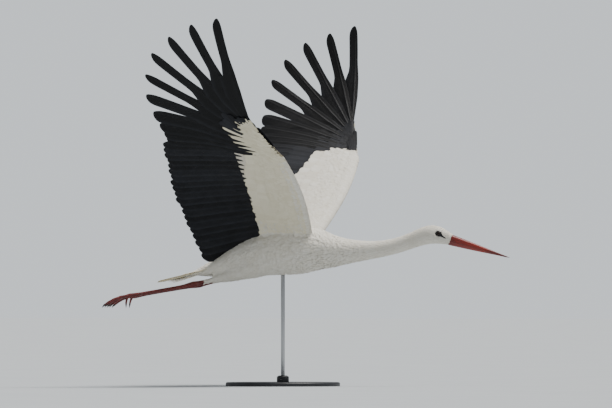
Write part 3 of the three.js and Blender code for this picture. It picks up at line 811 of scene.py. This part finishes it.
roots, facing = scattered(outline_mesh, body_spacing)
own = np.abs(roots[:, 1]) < ON_BODY
roots, facing = roots[own], facing[own]
x = roots[:, 0] - shoulders.x
slope = np.interp(x, SPINE[:-1, 0], np.diff(SPINE[:, 1]) / np.diff(SPINE[:, 0]))
slope = lerp(slope, 0.24, smooth(-x, 0.12, 0.20) * smooth(shoulders.z - roots[:, 2], 0.10, 0.12))
lie = np.stack([-np.ones_like(x), 0 * x, -slope], axis=-1) + chance.normal(0, 0.055, roots.shape)
# On the breast and the foreneck they are long narrow plumes.
plume = smooth(x, 0.03, 0.10) * (1 - smooth(x, 0.19, 0.27)) * smooth(-facing[:, 2], -0.15, 0.45)
length = lerp(np.interp(x, STATIONS, LENGTHS), PLUME_LENGTH, plume) * chance.uniform(0.88, 1.12, len(x))
width = lerp(np.interp(x, STATIONS, WIDTHS), PLUME_WIDTH, plume) * chance.uniform(0.9, 1.1, len(x))
# Those ahead of the bare skin are shortened to the longest of these shares that stops short of it.
shorter = np.array([0.25, 0.4, 0.55, 0.7, 0.85, 1.0])
ahead = unit(lie) * length[:, None]
over_bare = [off_bare(roots + ahead * share) < 1.02 for share in shorter] + [np.ones(len(roots), bool)]
first_over = np.array(over_bare).argmax(axis=0)
clear = (first_over > 0) & (off_bare(roots) > 1.0)
length = length * shorter[np.maximum(first_over, 1) - 1]
depth = np.minimum(coat_depth(roots), 0.25 * length) * smooth(off_bare(roots), 0.8, 1.4)
stand = np.interp(x, STATIONS, STANDS) * chance.uniform(-0.3, 1.0, len(x)) + 0.0005 * plume
# The unwrap of the body: from end to end, and round the spine.
above_spine = roots[:, 2] - shoulders.z - np.interp(x, SPINE[:, 0], SPINE[:, 1])
around = np.arctan2(roots[:, 1], above_spine) / math.tau + 0.5
root_place = np.stack([0.02 + 0.96 * (x + 0.34) / 0.84, 0.02 + 0.96 * around], axis=-1)
# They are painted a shade darker under the wing's root, where the wing's shade falls, to meet the painted shade
# of the underwing's cream.
wingpit_painted_shade = smooth(np.abs(roots[:, 1]), 0.070, 0.085) * smooth(-facing[:, 2], -0.3, 0.2)
tone = chance.uniform(0.34, 0.56, len(x)) - 0.15 * wingpit_painted_shade
for name, start, end, pattern, vane in (
    ("coat_rump", -1, -0.13, CONTOUR, white_vane), ("coat_trunk", -0.13, -0.02, CONTOUR, white_vane),
    ("coat_breast", -0.02, 0.11, CONTOUR, white_vane), ("coat_neck", 0.11, 0.34, SMALL, white_vane),
    ("coat_head", 0.34, 1, SMALL, fine_vane),
):
    own = (x >= start) & (x < end) & clear
    corners, whole = laid(pattern, *(v[own] for v in (roots, facing, lie, length, width, depth, stand)))
    mesh = feather_mesh(pattern, corners[whole], *(v[own][whole] for v in (length, width, root_place, tone)))
    make_piece(name, mesh, vane, "white_plumage")

# ---- Tail: a fan of twelve white feathers, the middle pair on top ----
# Each is one closed vane on a raised shaft, split here and there on its edge. Short feathers of the body's
# kind run out over their roots, above and below.

# A large feather's columns from its trailing edge to its leading one, with the shaft at 0, how far its barbs
# slant on towards its tip, and half its thickness. Its tip is rounded off to ROUND shares of its width, at
# TIP shares of its length.
ACROSS = np.array([-1, -0.66, -0.33, -0.055, 0, 0.07, 0.4, 0.72, 1])
BARB_SLANT = 0.10
HALF_THICK = 0.00022
TIP = [0.84, 0.88, 0.91, 0.94, 0.96, 0.98, 0.992, 1.0]
ROUND = [1.0, 0.98, 0.94, 0.86, 0.76, 0.58, 0.40, 0.16]
FLIGHT = leaf(np.concatenate([np.linspace(0, 0.84, 20)[:-1], TIP]), np.ones(27), 8)


def webs(shares, widths):
    """Web widths along a feather, rounded off at its tip."""
    return shares + TIP, widths + [widths[-1] * part for part in ROUND]


def flight_feather(place, lead, trail, tilt, bow=0.0, shaft=0.0009):
    """One large feather's corners. place(share, aside) gives its surface as three coordinates, the last
    upright. lead and trail are its web widths from root to tip, tilt its lean about its shaft, and bow its
    curve to the rear."""
    _, row, column, layer, share, _ = FLIGHT
    lead_web, trail_web = np.interp(share, *lead)[:, None], np.interp(share, *trail)[:, None]
    web = np.where(ACROSS > 0, lead_web, trail_web) * ACROSS
    slant = np.interp(share, [0, 0.15, 0.72, 0.97], [0, 1, 1, 0])[:, None]
    share = share[:, None] + BARB_SLANT * np.abs(ACROSS) * slant
    for split in chance.choice(np.arange(6, 17, 3), chance.integers(0, 2), replace=False):
        share[split - 1 : split + 2, :3] = share[split, :3] + np.array([-0.003, 0, 0.003])[:, None]
        web[split, :2] = web[split, 2] * np.array([1.9, 1.5])
    a, b, up = place(share, web - bow * share**2)
    up = up + tilt * web - 3.0 * web * web
    ridge = shaft * (1.1 - share[row, column]) * (column == 4)
    return a[row, column], b[row, column], up[row, column] + layer * (HALF_THICK + ridge)


def tail_place(v, t, aside, above=0.0):
    """A place on the fan: v from -1 at the right edge to 1 at the left, t from the rump to the tips."""
    length = 0.186 * (1 - 0.07 * v * v)
    y = v * lerp(0.026, 0.080, t) + aside
    z = -0.094 - 0.044 * t - 0.004 * v * v * (0.4 + t) + above
    return shoulders.x - 0.247 - length * t + 0 * y, y, shoulders.z + z + 0 * y


# Tail feather: creamier than the body's white, a painted warm light, and a little glossier, with a pale shaft,
# and edges painted a shade darker, a painted shade between the feathers, so that each feather of the fan can be
# told from the next.
tail_vane_painted_light_shade = plumage("tail_feather_painted_light_and_shade", [(0.0, "#b8a67c"), (0.45, "#e2d5ae"), (1.0, "#f2ead0")], 0.66, 0.4,
                     shaft=0.35, rim=-0.3)
feathers, root = [], []
for j in range(12):
    v = (j + 0.5) / 6 - 1
    out = math.copysign(1, v)
    grow = chance.uniform(0.975, 1.0)
    above = 0.0016 * (1 - abs(v))

    def on_fan(share, aside):
        return tail_place(v, -0.25 + (grow + 0.25) * share, out * aside, above)

    feathers.append(flight_feather(on_fan, webs([0, 0.3, 0.6], [0.004, 0.013, 0.016]),
                                   webs([0, 0.3, 0.6], [0.005, 0.016, 0.020]), 0.02, bow=-0.002))
    root.append((0.5 + 0.45 * v, 0.3))
corners = np.array(feathers).transpose(0, 2, 1)
for label, low in (("right", 0), ("left", 6)):
    mesh = feather_mesh(FLIGHT, corners[low : low + 6], np.full(6, 0.22), np.full(6, 0.036),
                        np.array(root[low : low + 6]), chance.uniform(0.3, 0.55, 6))
    make_piece(f"tail_feathers_{label}", mesh, tail_vane_painted_light_shade, "white_plumage", "tail")

# ---- Wing: ten primaries on the hand and twenty secondaries on the arm, glossy black ----
# Each is one closed vane on a raised shaft. Seen from above, its narrow leading web lies over the wide
# trailing web of the feather outside it. The six outer primaries narrow half way, and part into fingers.

# How far the vanes arch up, as a share of the wing's depth there, and how far they droop beside the body.
CAMBER = 0.055
TIP_CAMBER = 0.02
ROOT_DROOP = 0.062
# How far out the arm's front edge and its feather tips begin and end, and how long it is along each.
FRONT_EDGE = (-0.025, 0.378)
FEATHER_TIPS = (-0.038, 0.466)
ARM_LONG = (0.403, 0.504)
PRIMARIES = 10
PRIMARY_LENGTH = 0.330
SECONDARIES = 20


def arm_edges(u):
    """How far forward the arm's front edge and its feather tips lie, u of the way to the wrist."""
    return 0.052 + 0.030 * np.sin(2.35 * u), -0.284 - 0.028 * np.sin(math.pi * u)


def arm_place(u, c):
    """A place on the arm drawn flat: u from the shoulder to the wrist, c from the front edge to the tips."""
    front, rear = arm_edges(u)
    over = 4 * CAMBER * (front - rear) * c * (1 - c) - ROOT_DROOP * c * (1 - u) ** 2
    return lerp(lerp(*FRONT_EDGE, u), lerp(*FEATHER_TIPS, u), c), lerp(front, rear, c), over


def quill(k):
    """Where primary k stands along the hand, how far it is swept back, and its length."""
    share = np.clip((k - 1) / 9, -0.2, 1.05)
    sweep = lerp(math.radians(75), math.radians(7), np.maximum(0, share) ** 1.85)
    return share, sweep, PRIMARY_LENGTH + 0.070 * np.exp(-(((k - 6.9) / 2.6) ** 2))


def hand_place(k, t, aside):
    """A place on the hand drawn flat, along primary k from its quill to its tip, and aside to the front."""
    share, sweep, length = quill(k)
    out = lerp(WRIST[0], HAND_TIP[0], share) + length * t * np.cos(sweep) + aside * np.sin(sweep)
    forward = lerp(WRIST[1], HAND_TIP[1], share) - length * t * np.sin(sweep) + aside * np.cos(sweep)
    level = np.clip(share, 0, 1)
    along = np.clip(t, 0, 1)
    over = 4 * PRIMARY_LENGTH * lerp(CAMBER, TIP_CAMBER, level) * along * (1 - along)
    over = over + 0.020 * np.maximum(0, k - 4) * t * t / 6
    return out, forward, over


def wing_piece(name, pattern, feathers, tone, vane, side, *nodes):
    """Raises flat feathers to one side's wing, as one piece. feathers holds their corners (out, forward and
    over), lengths and widths, and how far out and forward each is rooted. Their unwrap is the wing drawn
    flat."""
    flat, length, width, out, forward = map(np.array, feathers)
    corners = raised(flat[:, 0], flat[:, 1], flat[:, 2], side)
    root_place = 0.02 + 0.96 * (np.stack([out, forward], axis=-1) + (0.06, 0.36)) / (0.70, 0.50)
    mesh = feather_mesh(pattern, corners, length, width, root_place, np.array(tone))
    make_piece(name, mesh, vane, "black_plumage" if "black" in vane.name else "white_plumage", *nodes)


# Flight feather: black keratin with a low oily gloss, a paler shaft, and edges worn a little paler, which
# draw each feather's outline.
black_vane = plumage("black_flight_feather", [(0.0, "#030304"), (0.4, "#08080a"), (1.0, "#2b2d33")], 0.5, 0.4,
                     shine=0.18, coat=0.03, shaft=0.45, rim=0.25)

for side, name in SIDES:
    feathers, places, tone = [], [], []
    for k in range(1, PRIMARIES + 1):
        narrowed = min(1, max(0, (k - 4) / 2))
        lead = webs([0, 0.2, 0.40, 0.55], [0.006, 0.012, 0.012, lerp(0.012, 0.0085, narrowed)])
        trail = webs([0, 0.2, 0.36, 0.50], [0.010, 0.036, 0.036, lerp(0.034, 0.0185, narrowed)])
        grow = chance.uniform(0.985, 1.0)

        def on_hand(share, aside):
            return hand_place(k, -0.03 + (grow + 0.03) * share, aside)

        feathers.append(flight_feather(on_hand, lead, trail, 0.05, shaft=0.0011))
        places.append(hand_place(k, 0, 0)[:2])
        tone.append(chance.uniform(0.05, 0.2))
    for j in range(SECONDARIES):
        u0 = (j + 0.5) / SECONDARIES
        start = 0.27
        grow = chance.uniform(0.985, 1.003)

        def on_arm(share, aside):
            c = lerp(start, grow, share)
            return arm_place(u0 + aside / lerp(*ARM_LONG, c), c)

        lead = webs([0, 0.3, 0.6], [0.006, 0.012, 0.0135])
        trail = webs([0, 0.3, 0.6], [0.010, 0.024, 0.028])
        feathers.append(flight_feather(on_arm, lead, trail, 0.06))
        places.append(arm_place(u0, start)[:2])
        tone.append(chance.uniform(0.2, 0.4))
    for label, low, count, length, width, node in (
        ("primaries", 0, PRIMARIES, 0.36, 0.045, "hand"),
        ("secondaries", PRIMARIES, SECONDARIES, 0.25, 0.042, "secondaries"),
    ):
        own = slice(low, low + count)
        wing_piece(f"quills_{name}_{label}", FLIGHT,
                   (feathers[own], [length] * count, [width] * count, *zip(*places[own])),
                   tone[own], black_vane, side, f"wing_{name}_{node}")

# ---- Wing coverts: short vanes in rows over the quills, above and below ----
# Above, the lesser and median rows are white, and the greater row is black. Below, all on the arm are white.
# Each row's tips lie over the roots of the next.
FACES = ((1, "upper"), (-1, "under"))
MEAN_ARM = 0.42
MEAN_CHORD = 0.35
MEDIUM = leaf([0, 0.25, 0.5, 0.72, 0.87, 0.96, 1], [0.42, 0.75, 0.94, 1, 0.88, 0.62, 0.28], 2)
LONG = leaf([0, 0.2, 0.4, 0.6, 0.76, 0.88, 0.95, 0.985, 1],
            [0.4, 0.7, 0.9, 1, 0.97, 0.84, 0.62, 0.4, 0.16], 4)


def opened(pattern, *values):
    """A pattern's shares, sides, widths and layers, corner by corner, and values as columns, feather by
    feather, so that sums of them give each feather's corners."""
    _, row, column, layer, share, wide = pattern
    columns = [np.asarray(value, float).reshape(-1, 1) for value in values]
    return share[row][None], (2 * column / column.max() - 1)[None], wide[row], layer, *columns


def half_thick(c, greatest):
    nose = np.sqrt(1 - (1 - np.minimum(1, np.maximum(c, 0) / 0.12)) ** 2)
    return greatest / 2 * nose * (1 - smooth(c, 0.14, 0.6))


def arm_coverts(pattern, face, u0, c0, long, wide, depth, lift, swing):
    """Coverts on the arm, on its upper face (1) or lower face (-1), rooted at u0, c0 and pointing back. Their
    roots lie depth deep, and their tips are lifted, and swung outwards. They are given as wing_piece takes
    them."""
    share, side, across, layer, u, c, length, width, lift, swing = opened(
        pattern, u0, c0, long, wide, lift, swing)
    front, rear = arm_edges(u)
    c = c + length * share / (front - rear)
    u = u + (side * width / 2 * across + swing * share) / lerp(*ARM_LONG, c)
    out, forward, over = arm_place(u, c)
    thick = half_thick(c, lerp(0.036, 0.017, np.clip(u, 0, 1)))
    thick = np.maximum(thick, 0.0020 - 0.0012 * smooth(c, 0.5, 1))
    sunk = depth * (1 - share) ** 0.8
    rise = thick + lift * share**2 - sunk - 0.022 * width * side**2 * np.minimum(1, share * 3)
    corners = np.stack([out, forward, over + face * rise + layer * 0.00025 * (1.2 - share)], axis=1)
    return corners, long, wide, *arm_place(u0, c0)[:2]


def rows(c_values, step, length, width, u_low, u_high, jitter=0.25):
    """Roots in staggered rows across the arm, with each feather's length and width."""
    step = step / MEAN_ARM
    u0, c0 = [], []
    for i, c in enumerate(c_values):
        places = np.arange(u_low + (i % 2) * step / 2, u_high, step)
        u0.append(places + chance.uniform(-jitter, jitter, len(places)) * step)
        c0.append(c + chance.uniform(-jitter, jitter, len(places)) * 0.02)
    u0, c0 = np.concatenate(u0), np.concatenate(c0)
    grow = chance.uniform(0.88, 1.12, (2, len(u0)))
    return u0, np.maximum(c0, 0.0), length * grow[0], width * grow[1]


def edge_coverts(u0, turn0, long, wide, depth, lift):
    """Small coverts that wrap the arm's round front edge, rooted at u0 and turn0 about it, and pointing
    outwards. They are given as wing_piece takes them."""
    share, side, across, layer, u, turn, length, width, lift = opened(SMALL, u0, turn0, long, wide, lift)
    u = u + length * share / ARM_LONG[0]
    half = lerp(0.018, 0.0085, np.clip(u, 0, 1))
    round_edge = np.hypot(half * np.cos(turn), 0.042 * np.sin(turn))
    turn = turn * (1 + 0.3 * share) + side * width / 2 * across / round_edge
    out, forward, over = arm_place(u, 0.12 * (1 - np.cos(turn)))
    rise = lift * share**2 - depth * (1 - share) ** 0.8 + layer * 0.0002 * (1.2 - share)
    corners = np.stack([out, forward + rise * np.cos(turn), over + (half + rise) * np.sin(turn)], axis=1)
    return corners, long, wide, *arm_place(u0, 0.02 * turn0)[:2]


# Wing coverts: matt white above, as on the body, and creamier and darker below, a painted shade of the wing's
# own underside.
white_covert = plumage("white_wing_covert", WHITES, 0.7, 0.3)
shaded_cream_covert = plumage("underwing_covert_painted_shade", [(0.0, "#b3a987"), (0.45, "#dad1b4"), (1.0, "#efe8d2")],
                       0.72, 0.3)
# The upper face's coverts are plain white, and the lower face's carry the cream of painted shade.
FACE_COVERT = {1: white_covert, -1: shaded_cream_covert}

# Lesser rows: their places from front to back, their step along the arm, and a feather's length, width and
# depth.
ARM_LESSER = ((np.linspace(0.01, 0.05, 4), 0.0062, 0.015, 0.0085, 0.0011),
              (np.linspace(0.06, 0.19, 9), 0.0098, 0.027, 0.0135, 0.0024))
# Median rows: where their roots and tips lie from front to back, their step along the arm, and a feather's
# width.
ARM_MEDIAN = {1: ((0.17, 0.32, 0.0125, 0.0195), (0.225, 0.41, 0.0145, 0.024), (0.285, 0.50, 0.0165, 0.030)),
              -1: ((0.17, 0.30, 0.0125, 0.0195), (0.220, 0.38, 0.0145, 0.024), (0.270, 0.46, 0.0165, 0.030))}
# Scapulars above, and axillars below, run from the wing's root over the gap beside the body: where their
# roots lie from front to back, and a feather's length and width.
ROOT_ROWS = {1: ((0.10, 0.070, 0.022), (0.19, 0.085, 0.026), (0.27, 0.090, 0.030)),
             -1: ((0.16, 0.070, 0.022), (0.24, 0.085, 0.024))}
for side, name in SIDES:
    for face, label in FACES:
        lesser, median = [], []
        for c_values, step, length, width, depth in ARM_LESSER:
            u0, c0, long, wide = rows(c_values, step, length, width, -0.05, 1.04)
            lift, swing = chance.uniform(-0.0004, 0.0008, len(u0)), chance.normal(0, 0.0016, len(u0))
            lesser.append(arm_coverts(SMALL, face, u0, c0, long, wide, depth, lift, swing))
        for c_low, tip, step, width in ARM_MEDIAN[face]:
            u0, c0, _, wide = rows([c_low], step, 1.0, width, -0.04, 0.97, 0.12)
            end = tip - 0.10 * smooth(u0, 0.55, 1.0)
            long = (end - c0) * MEAN_CHORD * chance.uniform(0.95, 1.05, len(u0))
            lift, swing = chance.uniform(0.0, 0.0010, len(u0)), chance.normal(0, 0.0015, len(u0))
            median.append(arm_coverts(MEDIUM, face, u0, c0, long, wide, 0.0016, lift, swing))
        for c_low, long, width in ROOT_ROWS[face]:
            u0, c0, long, wide = rows([c_low], 0.013, long, width, -0.14, 0.07, 0.2)
            lift, swing = chance.uniform(0.0015, 0.0035, len(u0)), chance.normal(-0.004, 0.003, len(u0))
            median.append(arm_coverts(MEDIUM, face, u0, c0, long, wide, 0.002, lift, swing))
        for pattern, kind, sets in ((SMALL, "lesser", lesser), (MEDIUM, "median", median)):
            feathers = [np.concatenate(part) for part in zip(*sets)]
            wing_piece(f"coverts_{name}_{label}_{kind}", pattern, feathers,
                       chance.uniform(0.35, 0.6, len(feathers[0])), FACE_COVERT[face], side)
    u0, turn0 = [], []
    for i, turn in enumerate(np.radians([-52, -30, -10, 10, 30, 52])):
        u0.append(np.arange(-0.06 + 0.007 * (i % 2), 0.99, 0.0145) + chance.uniform(-0.004, 0.004))
        turn0.append(turn + chance.uniform(-0.05, 0.05, len(u0[-1])))
    u0, turn0 = np.concatenate(u0), np.concatenate(turn0)
    long = chance.uniform(0.013, 0.018, len(u0))
    wide = lerp(0.0115, 0.0085, u0) * chance.uniform(0.9, 1.1, len(u0))
    feathers = edge_coverts(u0, turn0, long, wide, 0.0008, chance.uniform(0, 0.0003, len(u0)))
    wing_piece(f"coverts_{name}_edge", SMALL, feathers, chance.uniform(0.35, 0.6, len(u0)),
               white_covert, side)

# ---- Hand coverts, greater coverts and alula: short vanes, black like the quills that they cover ----
# White rows run on past the wrist, a little way above and nearly to the tip below. The alula is four stiff
# feathers on the thumb.
BONE_SLOPE = math.atan2(WRIST[1] - HAND_TIP[1], HAND_TIP[0] - WRIST[0])
HAND_LONG = math.dist(WRIST, HAND_TIP)
HAND_HALF_WIDE = (0.015, 0.007)
QUILL_GAP = 0.0175


def hand_coverts(pattern, face, k0, back, long, wide, depth, lift, over_quills):
    """Coverts on the hand, rooted at k0 along its bones and back from their line, and pointing along the
    primaries, which they clear by over_quills. They are given as wing_piece takes them."""
    share, side, across, layer, k, behind, length, width, lift = opened(pattern, k0, back, long, wide, lift)
    _, sweep, quill_long = quill(k)
    turn = sweep - BONE_SLOPE
    splay = math.radians(16) * smooth(k, 4, 9)
    t = (behind * np.sin(turn) + length * share * np.cos(splay)) / quill_long
    aside = side * width / 2 * across - behind * np.cos(turn) - length * share * np.sin(splay)
    out, forward, over = hand_place(k, t, aside)
    outward, rearward = out - WRIST[0], WRIST[1] - forward
    along = (outward * math.cos(BONE_SLOPE) + rearward * math.sin(BONE_SLOPE)) / HAND_LONG
    along = np.clip(along, 0, 1)
    from_bone = rearward * math.cos(BONE_SLOPE) - outward * math.sin(BONE_SLOPE)
    half_wide = lerp(*HAND_HALF_WIDE, along)
    nose = np.sqrt(1 - (1 - np.clip(from_bone / half_wide + 1, 0, 1)) ** 2)
    rise = lerp(0.0068, 0.0040, along) * nose * (1 - smooth(from_bone, 0, 0.13))
    rise = np.maximum(rise, over_quills * (1 - 0.4 * share))
    sunk = depth * (1 - share) ** 0.8
    rise = rise + lift * share**2 - sunk - 0.02 * width * side**2 * np.minimum(1, share * 3)
    corners = np.stack([out, forward, over + face * rise + layer * 0.0002 * (1.2 - share)], axis=1)
    return corners, long, wide, *hand_place(k0, 0 * k0, -back)[:2]


# Black covert: as the flight feathers but matter, with fainter shafts, so the quills stay the glossiest.
black_covert = plumage("black_covert", [(0.0, "#030304"), (0.4, "#09090c"), (1.0, "#2b2d33")], 0.55, 0.35,
                       shine=0.18, shaft=0.2, rim=0.25)

# Rows along the hand: how far behind the bones (or in shares of their half width, ahead of them), the step, a
# feather's length, width and depth, and the primaries as far as which it is white above, and below.
HAND_LESSER = [
    (-0.95, 0.0068, 0.014, 0.0085, 0.0007, 3.0, 9.9), (-0.55, 0.0068, 0.015, 0.0090, 0.0008, 3.0, 9.8),
    (-0.10, 0.0072, 0.016, 0.0095, 0.0009, 3.0, 9.7), (0.005, 0.0075, 0.018, 0.0100, 0.0010, 3.0, 9.6),
    (0.012, 0.0080, 0.021, 0.0110, 0.0012, 2.9, 9.5), (0.020, 0.0090, 0.026, 0.0130, 0.0014, 2.5, 9.4),
    (0.028, 0.0100, 0.032, 0.0150, 0.0015, 2.0, 9.2),
]
HAND_MEDIAN = [(0.033, 0.0125, 0.055, 0.019, 0.0016, -9, 8.8), (0.045, 0.0165, 0.080, 0.024, 0.0018, -9, 6.9)]
OVER_QUILLS = {"lesser": {1: 0.0024, -1: 0.0024}, "median": {1: 0.0052, -1: 0.0036}}
# How many greater coverts there are, one over each secondary and one nearer the body, and how many in each of
# two rows of long scapulars that fold over the innermost. All are on the upper face only.
GREATER = [21, 7, 5]
for side, name in SIDES:
    for face, label in FACES:
        for pattern, kind, sets in ((SMALL, "lesser", HAND_LESSER), (MEDIUM, "median", HAND_MEDIAN)):
            laid_rows = []
            for i, (behind, step, length, width, depth, white_upper, white_under) in enumerate(sets):
                k0 = np.arange(-0.6 + (i % 2) * step / QUILL_GAP / 2, 10.05, step / QUILL_GAP)
                k0 = k0 + chance.uniform(-0.12, 0.12, len(k0))
                ahead = behind * lerp(*HAND_HALF_WIDE, np.clip(k0 / 10, 0, 1))
                back = ahead if behind < 0 else behind + 0 * k0
                back = back + chance.uniform(-0.0015, 0.0015, len(k0))
                grow = chance.uniform(0.88, 1.12, (2, len(k0))) * lerp(1, 0.85, k0 / 10)
                long, wide = length * grow[0], width * grow[1]
                lift = chance.uniform(-0.0002, 0.0006, len(k0))
                feathers = hand_coverts(pattern, face, k0, back, long, wide, depth, lift,
                                        OVER_QUILLS[kind][face])
                white = k0 + chance.normal(0, 0.15, len(k0)) < (white_upper if face > 0 else white_under)
                laid_rows.append((*feathers, white))
            *feathers, white = [np.concatenate(part) for part in zip(*laid_rows)]
            for own, shade, vane in ((white, "white", FACE_COVERT[face]), (~white, "black", black_covert)):
                if own.any():
                    wing_piece(f"hand_coverts_{name}_{label}_{kind}_{shade}", pattern,
                               [part[own] for part in feathers],
                               chance.uniform(0.2, 0.55, own.sum()), vane, side)

    # Greater coverts and long scapulars.
    u0 = np.concatenate([(np.arange(-1, 20) + 0.3) / 20, np.linspace(-0.12, 0.06, 7),
                         np.linspace(-0.10, 0.04, 5)])
    c0 = np.repeat([0.34, 0.40, 0.52], GREATER)
    end = np.concatenate([0.71 - 0.10 * smooth(u0[:21], 0.6, 1.0), np.full(7, 0.76),
                          np.linspace(0.92, 0.84, 5)])
    long = (end - c0) * MEAN_CHORD * chance.uniform(0.97, 1.03, len(u0))
    wide = np.repeat([0.033, 0.036, 0.040], GREATER)
    lift = np.repeat([0.0004, 0.003, 0.004], GREATER) * chance.uniform(0.5, 1.5, len(u0))
    swing = np.repeat([0, -0.006, -0.010], GREATER)
    feathers = arm_coverts(LONG, 1, u0, c0, long, wide, 0.0022, lift, swing)
    wing_piece(f"coverts_{name}_upper_greater", LONG, feathers, chance.uniform(0.3, 0.6, len(u0)),
               black_covert, side)

    # Alula: each feather shorter than the one below it, and turned further back.
    feathers, places = [], []
    for i, long in enumerate((0.120, 0.102, 0.082, 0.062)):
        start = np.array([0.405 + 0.002 * i, 0.054 - 0.0050 * i])
        heading = math.radians(-15 - 3 * i)

        def on_thumb(share, aside):
            out = start[0] + long * share * math.cos(heading) - aside * math.sin(heading)
            forward = start[1] + long * share * math.sin(heading) + aside * math.cos(heading)
            over = lerp(0.001, 0.0088 - 0.004 * share, smooth(share, 0, 0.3)) + 0.0008 * i
            return out, forward, over + 0 * out

        feathers.append(flight_feather(on_thumb, webs([0, 0.3, 0.6], [0.004, 0.008, 0.008]),
                                       webs([0, 0.3, 0.6], [0.005, 0.013, 0.014]), 0.04, shaft=0.0005))
        places.append(start)
    wing_piece(f"alula_{name}", FLIGHT, (feathers, [0.1] * 4, [0.022] * 4, *zip(*places)), [0.3] * 4,
               black_covert, side)

# ---- Studio: a pale floor without end, one broad soft lamp high on the bird's right, and even light ----
# The backdrop has the floor's brightness, so no edge shows between them.

# Floor paint: dead matt pale grey, faintly mottled over 0.3 m, so that the stand's shadow lies soft on it.
pale_paint, place = new_finish("matt_pale_floor_paint")
mottle = noise(pale_paint, place, 3, 6)
surface(pale_paint, tinted(pale_paint, mottle, (0.3, "#b5babe"), (0.7, "#bbc0c3")), Roughness=0.85)
floor = bmesh.new()
bmesh.ops.create_grid(floor, x_segments=4, y_segments=4, size=60)
floor = put("floor", mesh_of(floor))
floor.data.materials.append(pale_paint)
floor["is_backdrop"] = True

world = bpy.data.worlds.new("even_light")
world.use_nodes = True
world.node_tree.nodes.clear()
ray = add(world, "LightPath")["Is Camera Ray"]
light = add(world, "Background", Color=colour("#f2f6fb"), Strength=0.38)[0]
backdrop = add(world, "Background", Color=colour("#c0c5c9"), Strength=1.50)[0]
shown = add(world, "MixShader", Fac=ray, i1=light, i2=backdrop)[0]
add(world, "OutputWorld", Surface=shown)
bpy.context.scene.world = world

lamp = bpy.data.lights.new("soft_lamp", "SUN")
lamp.energy = 4.5
lamp.angle = math.radians(35)
lamp.color = (1.0, 0.975, 0.94)
lamp = put("soft_lamp", lamp)
lamp.rotation_mode = "QUATERNION"
lamp.rotation_quaternion = Vector((0.30, 0.12, 0.94)).to_track_quat("Z", "Y")

# The camera looks up a touch at the bird, from its right and a little ahead, far off with a very long lens.
CAMERA_TURN = math.radians(18.5)
CAMERA_TILT = math.radians(-0.3)
CAMERA_AWAY = 40.4
camera = put("camera", bpy.data.cameras.new("camera"))
camera.data.lens = 800
camera.data.clip_end = 200
back = Vector((math.sin(CAMERA_TURN) * math.cos(CAMERA_TILT), -math.cos(CAMERA_TURN) * math.cos(CAMERA_TILT),
               math.sin(CAMERA_TILT)))
camera.location = (cad_box[0] + cad_box[1]) / 2 + back * CAMERA_AWAY
camera.rotation_mode = "QUATERNION"
camera.rotation_quaternion = back.to_track_quat("Z", "Y")
bpy.context.scene.camera = camera

sizes = {name: [list(corner) for corner in box] for name, box in (("cad", cad_box), ("visual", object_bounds()))}
